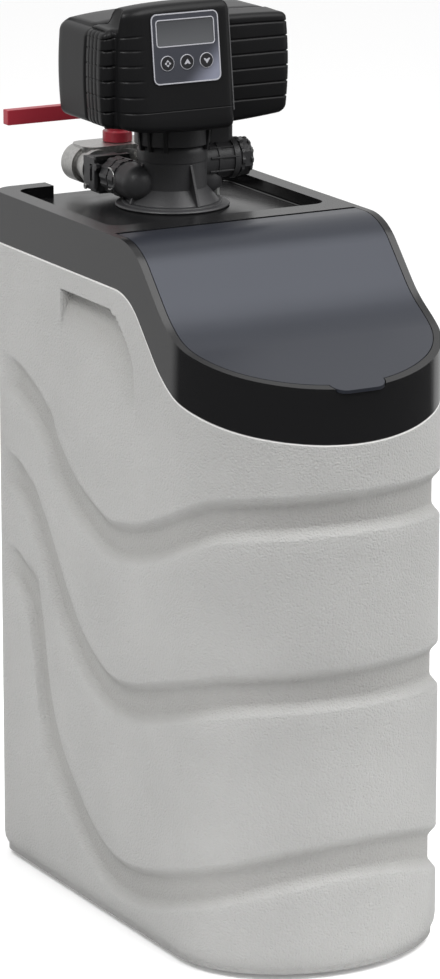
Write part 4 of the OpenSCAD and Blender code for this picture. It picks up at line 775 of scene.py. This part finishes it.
def cover_path():
    """Columns of the front cover from above: place, outward normal, hood height, rib and tile depth."""
    columns = []
    for y in (part_line, -0.0171, -0.0225, -0.0231, -0.0237, -0.0295, -0.0301, -0.0307, -0.0365, -0.0371,
              -0.0377):
        tile = tile_depth if y in tile_lines else 0.0
        tile = parting_depth if y == part_line else tile
        columns.append((-head_half, y, -1.0, 0.0, 0.0, side_rib, tile))
    for t in quarter_turn(6):
        x = left_round - head_half - left_round * math.cos(t)
        y = wing_front + left_round - left_round * math.sin(t)
        columns.append((x, y, -math.cos(t), -math.sin(t), 0.0, side_rib + 0.0017 * math.sin(t), 0.0))
    columns.append((-0.0868, wing_front, 0.0, -1.0, 0.0, 0.0020, 0.0))
    columns.append((-0.0848, -0.0485, 0.0, -1.0, 0.0, 0.0004, 0.0))
    for a in (0, 3, 7, 12, 18, 25, 33, 42, 51, 60, 69, 78, 84, 90):
        t = math.radians(a)
        x, y = block_left - block_wide * math.cos(t), wing_front - block_deep * math.sin(t)
        nx, ny = -math.cos(t) / block_wide, -math.sin(t) / block_deep
        size = math.hypot(nx, ny)
        hood = hood_rise * math.sin(math.pi / 2 * min(1.0, a / 25.0)) ** 0.5
        rib = 0.0006 * smooth_step(8, 25, a) * (1 - smooth_step(60, 80, a))
        columns.append((x, y, nx / size, ny / size, hood, rib, 0.0))
    for x in np.linspace(-0.054, 0.018, 19):
        columns.append((float(x), face_front, 0.0, -1.0, hood_rise, 0.0, 0.0))
    for t in quarter_turn(6):
        x, y = block_right + block_round * math.sin(t), face_front + block_round - block_round * math.cos(t)
        columns.append((x, y, math.sin(t), -math.cos(t), hood_rise - 0.002 * math.sin(t) ** 4, 0.0, 0.0))
    columns.append((0.0291, -0.0525, 1.0, 0.0, 0.0135, 0.0, 0.0))
    columns.append((0.0293, -0.0482, 0.0, -1.0, 0.011, 0.0, 0.0))
    columns.append((0.0303, -0.0482, 0.0, -1.0, 0.0, 0.0, 0.0))
    columns.append((0.0309, -0.0492, 0.0, -1.0, 0.0, 0.0010, 0.0))
    for x in (0.0316, 0.036, 0.044, 0.052, 0.060, 0.068, 0.076, 0.082):
        columns.append((x, wing_front, 0.0, -1.0, 0.0, 0.0010, 0.0))
    for t in quarter_turn(6):
        x = head_half - right_round + right_round * math.sin(t)
        y = wing_front + right_round - right_round * math.cos(t)
        columns.append((x, y, math.sin(t), -math.cos(t), 0.0, 0.0012, 0.0))
    for y in (-0.035, -0.028, -0.021, -0.0171, part_line):
        columns.append((head_half, y, 1.0, 0.0, 0.0, 0.0010, parting_depth if y == part_line else 0.0))
    return columns


def crown(x):
    """Height of the head's top, lower towards its ends."""
    return head_top - (0.007 if x < 0 else 0.002) * (abs(x) / head_half) ** 3


def underside(x):
    """Height of the head's underside, which sags in the middle."""
    return head_low - 0.0065 * (1 - (x / head_half) ** 2)


def head_swell(z):
    """Inset of the head's sides, which swell at mid height."""
    return 0.0026 * ((z - 0.127) / 0.046) ** 2


def from_valve(points):
    return [(x + valve_x, y + valve_y, z + valve_z) for x, y, z in points]


def front_cover_mesh():
    """Shell of the front cover, open where the display panel sits."""
    levels = []
    below = 0.088
    for level in rib_levels:
        levels += [(below + (level - rib_half - below) * k / 3, 0.0) for k in (1, 2)]
        levels += [(level + rise, cut) for rise, cut in rib_profile]
        below = level + rib_half
    columns = []
    for x, y, nx, ny, hood, rib, tile in cover_path():
        forward = min(1.0, max(0.0, (wing_front - y) / block_deep))
        top, low = crown(x), underside(x)
        edge = 0.007 + 0.005 * forward
        profile = [(edge * (1 - math.sin(a)), low + 0.007 * (1 - math.cos(a))) for a in quarter_turn(5)]
        for z, cut in levels:
            z = z if z < bend_z else bend_z + (z - bend_z) * (top - bend_z) / (head_top - bend_z)
            line = 0.0008 if forward > 0.97 and abs(z - rib_levels[0]) < 0.0002 else 0.0
            profile.append((rib * cut + line, z))
        radius = 0.0052 + 0.002 * hood / hood_rise
        start = profile[-1][1]
        straight = top + hood - radius - start
        for k in range(1, 11):
            run = (straight + radius * math.pi / 2) * k / 10
            a = max(0.0, run - straight) / radius
            profile.append((radius * (1 - math.cos(a)), start + min(run, straight) + radius * math.sin(a)))
        points = [(x * 0.9, part_line, low + 0.001)]
        for inset, z in profile:
            inset += head_swell(z) * (1 - forward) + tile
            lean = forward * (z - face_middle) * face_tilt
            points.append((x - nx * inset, y - ny * inset + lean, z))
        fx, fy = points[-1][:2]
        points += [(fx, fy + (part_line - fy) * f, top + hood * share + top_rise * f)
                   for f, share in hood_fall]
        points.append((fx, part_line, top - top_lip))
        columns.append(from_valve(points))

    def outside_panel(a, b):
        x, z = (a[0] + b[0]) / 2, (a[2] + b[2]) / 2
        return not (a[1] < 0.07 and -0.050 < x < 0.010 and 0.772 < z < 0.824)

    return grid_mesh("front_cover_shell", [list(row) for row in zip(*columns)], keep=outside_panel)


front_finish = grained("ribbed_black", (0.0085, 0.0085, 0.009), 0.36, 900, 0.10, 0.18)
add_piece("front_cover_shell", front_cover_mesh(), "base", front_finish, "head_black", "front_cover")


def block_edge():
    """Fine moulded bead down the right edge of the display block, which carries a painted highlight."""
    rows = []
    for a, out in ((44, -0.0002), (50, 0.0005), (56, -0.0002)):
        t = math.radians(a)
        x = block_right + (block_round + out) * math.sin(t)
        y = face_front + block_round - (block_round + out) * math.cos(t)
        heights = np.linspace(0.092, 0.184, 24)
        rows.append(from_valve([(x, y + (z - face_middle) * face_tilt, float(z)) for z in heights]))
    return grid_mesh("block_edge", rows)


# painted highlight: the bead is paler grey than the black cover, standing in for light caught along the
# block's edge
edge_highlight_finish = grained("painted_edge_highlight", (0.075, 0.075, 0.078), 0.4, 900, 0.05)
add_piece("block_edge", block_edge(), "base", edge_highlight_finish, "head_black")


# Valve head, rear housing. A smooth black moulding, swollen at its sides and crowned on top, that
# covers the drive and meets the front cover at a fine parting line. Steel screws hold both.
rear_y, rear_round, rear_foot, rear_crest, parting = 0.047, 0.012, 0.008, 0.009, 0.0003


def rear_housing_mesh():
    """Shell of the rear housing, from the parting line round the back and to the other side."""
    half = [(-head_half, -0.0162, -1.0, 0.0, parting_depth)]
    half += [(-head_half, y, -1.0, 0.0, 0.0) for y in (-0.0156, -0.010, -0.002, 0.006, 0.014, 0.022, 0.030)]
    for t in quarter_turn(10):
        x = rear_round - head_half - rear_round * math.cos(t)
        y = rear_y - rear_round + rear_round * math.sin(t)
        half.append((x, y, -math.cos(t), math.sin(t), 0.0))
    rear = [(float(x), rear_y, 0.0, 1.0, 0.0) for x in np.linspace(-0.080, 0.080, 17)]
    path = half + rear + [(-x, y, -nx, ny, tile) for x, y, nx, ny, tile in reversed(half)]
    join = part_line + parting
    columns = []
    for x, y, nx, ny, tile in path:
        top, low = crown(x), underside(x)
        height = top - rear_crest - low - rear_foot
        profile = [(rear_foot * (1 - math.sin(a)), low + rear_foot * (1 - math.cos(a)))
                   for a in quarter_turn(6)]
        profile += [(0.0, low + rear_foot + height * k / 15) for k in range(1, 16)]
        profile += [(rear_crest * (1 - math.cos(a)), top - rear_crest + rear_crest * math.sin(a))
                    for a in quarter_turn(7)[1:]]
        points = [(x * 0.9, join, low + 0.001)]
        for inset, z in profile:
            inset += head_swell(z) + tile
            points.append((x - nx * inset, y - ny * inset, z))
        fx, fy = points[-1][:2]
        points += [(fx, fy + (join - fy) * f, top + top_rise * f) for f in (0.25, 0.5, 0.75, 0.98)]
        points.append((fx, join, top - top_lip))
        columns.append(from_valve(points))
    return grid_mesh("rear_housing_shell", [list(row) for row in zip(*columns)])


head_finish = grained("satin_black", (0.006, 0.006, 0.0065), 0.36, 900, 0.10, 0.35)
add_piece("rear_housing_shell", rear_housing_mesh(), "base", head_finish, "head_black", "rear_housing")
dress(steel_finish, "head_screws")


# Display. A slate overlay with a bright edge line on the tilted block, a window over the liquid
# crystal and three buttons in bright rings, each with a raised sign. The board behind it carries the
# three switches.
panel_x, panel_y, panel_z = -0.020, 0.052, 0.798
panel_sin, panel_cos = math.sin(face_angle), math.cos(face_angle)


def on_panel(u, v, w):
    """Point on the display block: across, up the face and out of it, in millimetres."""
    return (panel_x + u / 1000, panel_y + (panel_sin * v - panel_cos * w) / 1000,
            panel_z + (panel_cos * v + panel_sin * w) / 1000)


def frame_band(name, wide, high, radius, width, rise, low, top):
    """Thin raised band that follows a rounded rectangle."""
    profile = ((0.0, low), (0.12, top), (width - 0.12, top), (width, low))
    rows = [[] for step in profile]
    for cx, cy, start in ((1, 1, 0), (-1, 1, 90), (-1, -1, 180), (1, -1, 270)):
        for k in range(9):
            a = math.radians(start + 90 * k / 8)
            for row, (inset, level) in zip(rows, profile):
                r = max(radius - inset, 0.2)
                x = cx * (wide / 2 - inset - r) + r * math.cos(a)
                y = cy * (high / 2 - inset - r) + r * math.sin(a)
                row.append(on_panel(x, y + rise, level))
    return grid_mesh(name, rows, closed=True, smooth=False)


# the overlay is paler towards its lower right corner, with fine flecks
panel_finish, tree, bsdf = new_finish("slate_overlay")
place = add_node(tree, "TexCoord", {}).outputs["Object"]
split = add_node(tree, "SeparateXYZ", {"Vector": place})
across = add_node(tree, "Math", {0: split.outputs["X"], 1: split.outputs["Z"]}, operation="SUBTRACT")
fade = add_node(tree, "MapRange", {"Value": across.outputs[0], "From Min": -0.795, "From Max": -0.760},
                interpolation_type="SMOOTHSTEP")
fleck = add_node(tree, "TexNoise", {"Vector": place, "Scale": 1500})
mixed = add_node(tree, "Math", {0: fleck.outputs["Fac"], 1: 0.06, 2: fade.outputs["Result"]},
                 operation="MULTIPLY_ADD")
two_tone(tree, bsdf, mixed.outputs[0], (0.038, 0.040, 0.049), (0.215, 0.225, 0.284), 0.3)
dress(panel_finish, "display_panel")
line_finish = grained("silver_line", (0.40, 0.40, 0.43), 0.35, 900, 0.05)
for name, band in (("panel_line", (68.8, 63.8, 5.9, 1.2, 0, 1.15, 1.42)),
                   ("window_line", (60.0, 25.0, 3.4, 1.1, 14, 1.15, 1.50))):
    add_piece(name, frame_band(name, *band), "base", line_finish, "panel")

# the crystal is darker towards its top
window_finish, tree, bsdf = new_finish("grey_crystal")
place = add_node(tree, "TexCoord", {}).outputs["Object"]
split = add_node(tree, "SeparateXYZ", {"Vector": place})
fade = add_node(tree, "MapRange", {"Value": split.outputs["Z"], "From Min": 0.800, "From Max": 0.824})
two_tone(tree, bsdf, fade.outputs["Result"], (0.102, 0.105, 0.111), (0.060, 0.062, 0.066), 0.12)
dress(window_finish, "lcd_window", "lcd_module")
board_finish = grained("green_board", (0.02, 0.10, 0.04), 0.4, 250, 0.2)
dress(board_finish, "circuit_board")
dress(steel_finish, "board_screws")
button_finish = grained("button_black", (0.016, 0.016, 0.018), 0.35, 900, 0.1)
dress(button_finish, "set_button", "up_button", "down_button", soft=0.0004)


def ring_band(name, u, v, inner, outer, low, top):
    """Raised ring round a button."""
    profile = ((outer, low), (outer - 0.15, top), (inner + 0.15, top), (inner, low))
    turns = [2 * math.pi * k / 48 for k in range(48)]
    rows = []
    for r, level in profile:
        rows.append([on_panel(u + r * math.cos(a), v + r * math.sin(a), level) for a in turns])
    return grid_mesh(name, rows, closed=True)


def raised_sign(name, u, v, shapes, low, top):
    """Flat raised marks on a button, each a closed line of points."""
    points, faces = [], []
    for shape in shapes:
        n, first = len(shape), len(points)
        points += [on_panel(u + x, v + y, low) for x, y in shape]
        points += [on_panel(u + x, v + y, top) for x, y in shape]
        faces.append(tuple(first + n + k for k in range(n)))
        faces += [(first + k, first + (k + 1) % n, first + n + (k + 1) % n, first + n + k) for k in range(n)]
    mesh = bpy.data.meshes.new(name)
    mesh.from_pydata(points, [], faces)
    mesh.update()
    return mesh


button_pitch, button_drop = 20, -13
arrow = [(0.0, 2.9), (-3.3, -1.7), (-2.0, -2.1), (0.0, -0.9), (2.0, -2.1), (3.3, -1.7)]
lozenge = [(0.0, 3.3), (-1.5, 1.7), (0.0, 1.0), (1.5, 1.7)]
four_ways = ((1, 0), (0, 1), (-1, 0), (0, -1))
four_lozenges = [[(x * c - y * s, x * s + y * c) for x, y in lozenge] for c, s in four_ways]
signs = {
    "set_button": (-button_pitch, four_lozenges),
    "up_button": (0, [arrow]),
    "down_button": (button_pitch, [[(-x, -y) for x, y in arrow]]),
}
for body, (u, shapes) in signs.items():
    sign = raised_sign(body + "_sign", u, button_drop, shapes, 2.1, 2.35)
    add_piece(body + "_sign", sign, body, line_finish, "panel")
    ring = ring_band(body + "_ring", u, button_drop, 6.15, 7.0, 1.1, 1.75)
    add_piece(body + "_ring", ring, "base", line_finish, "panel")
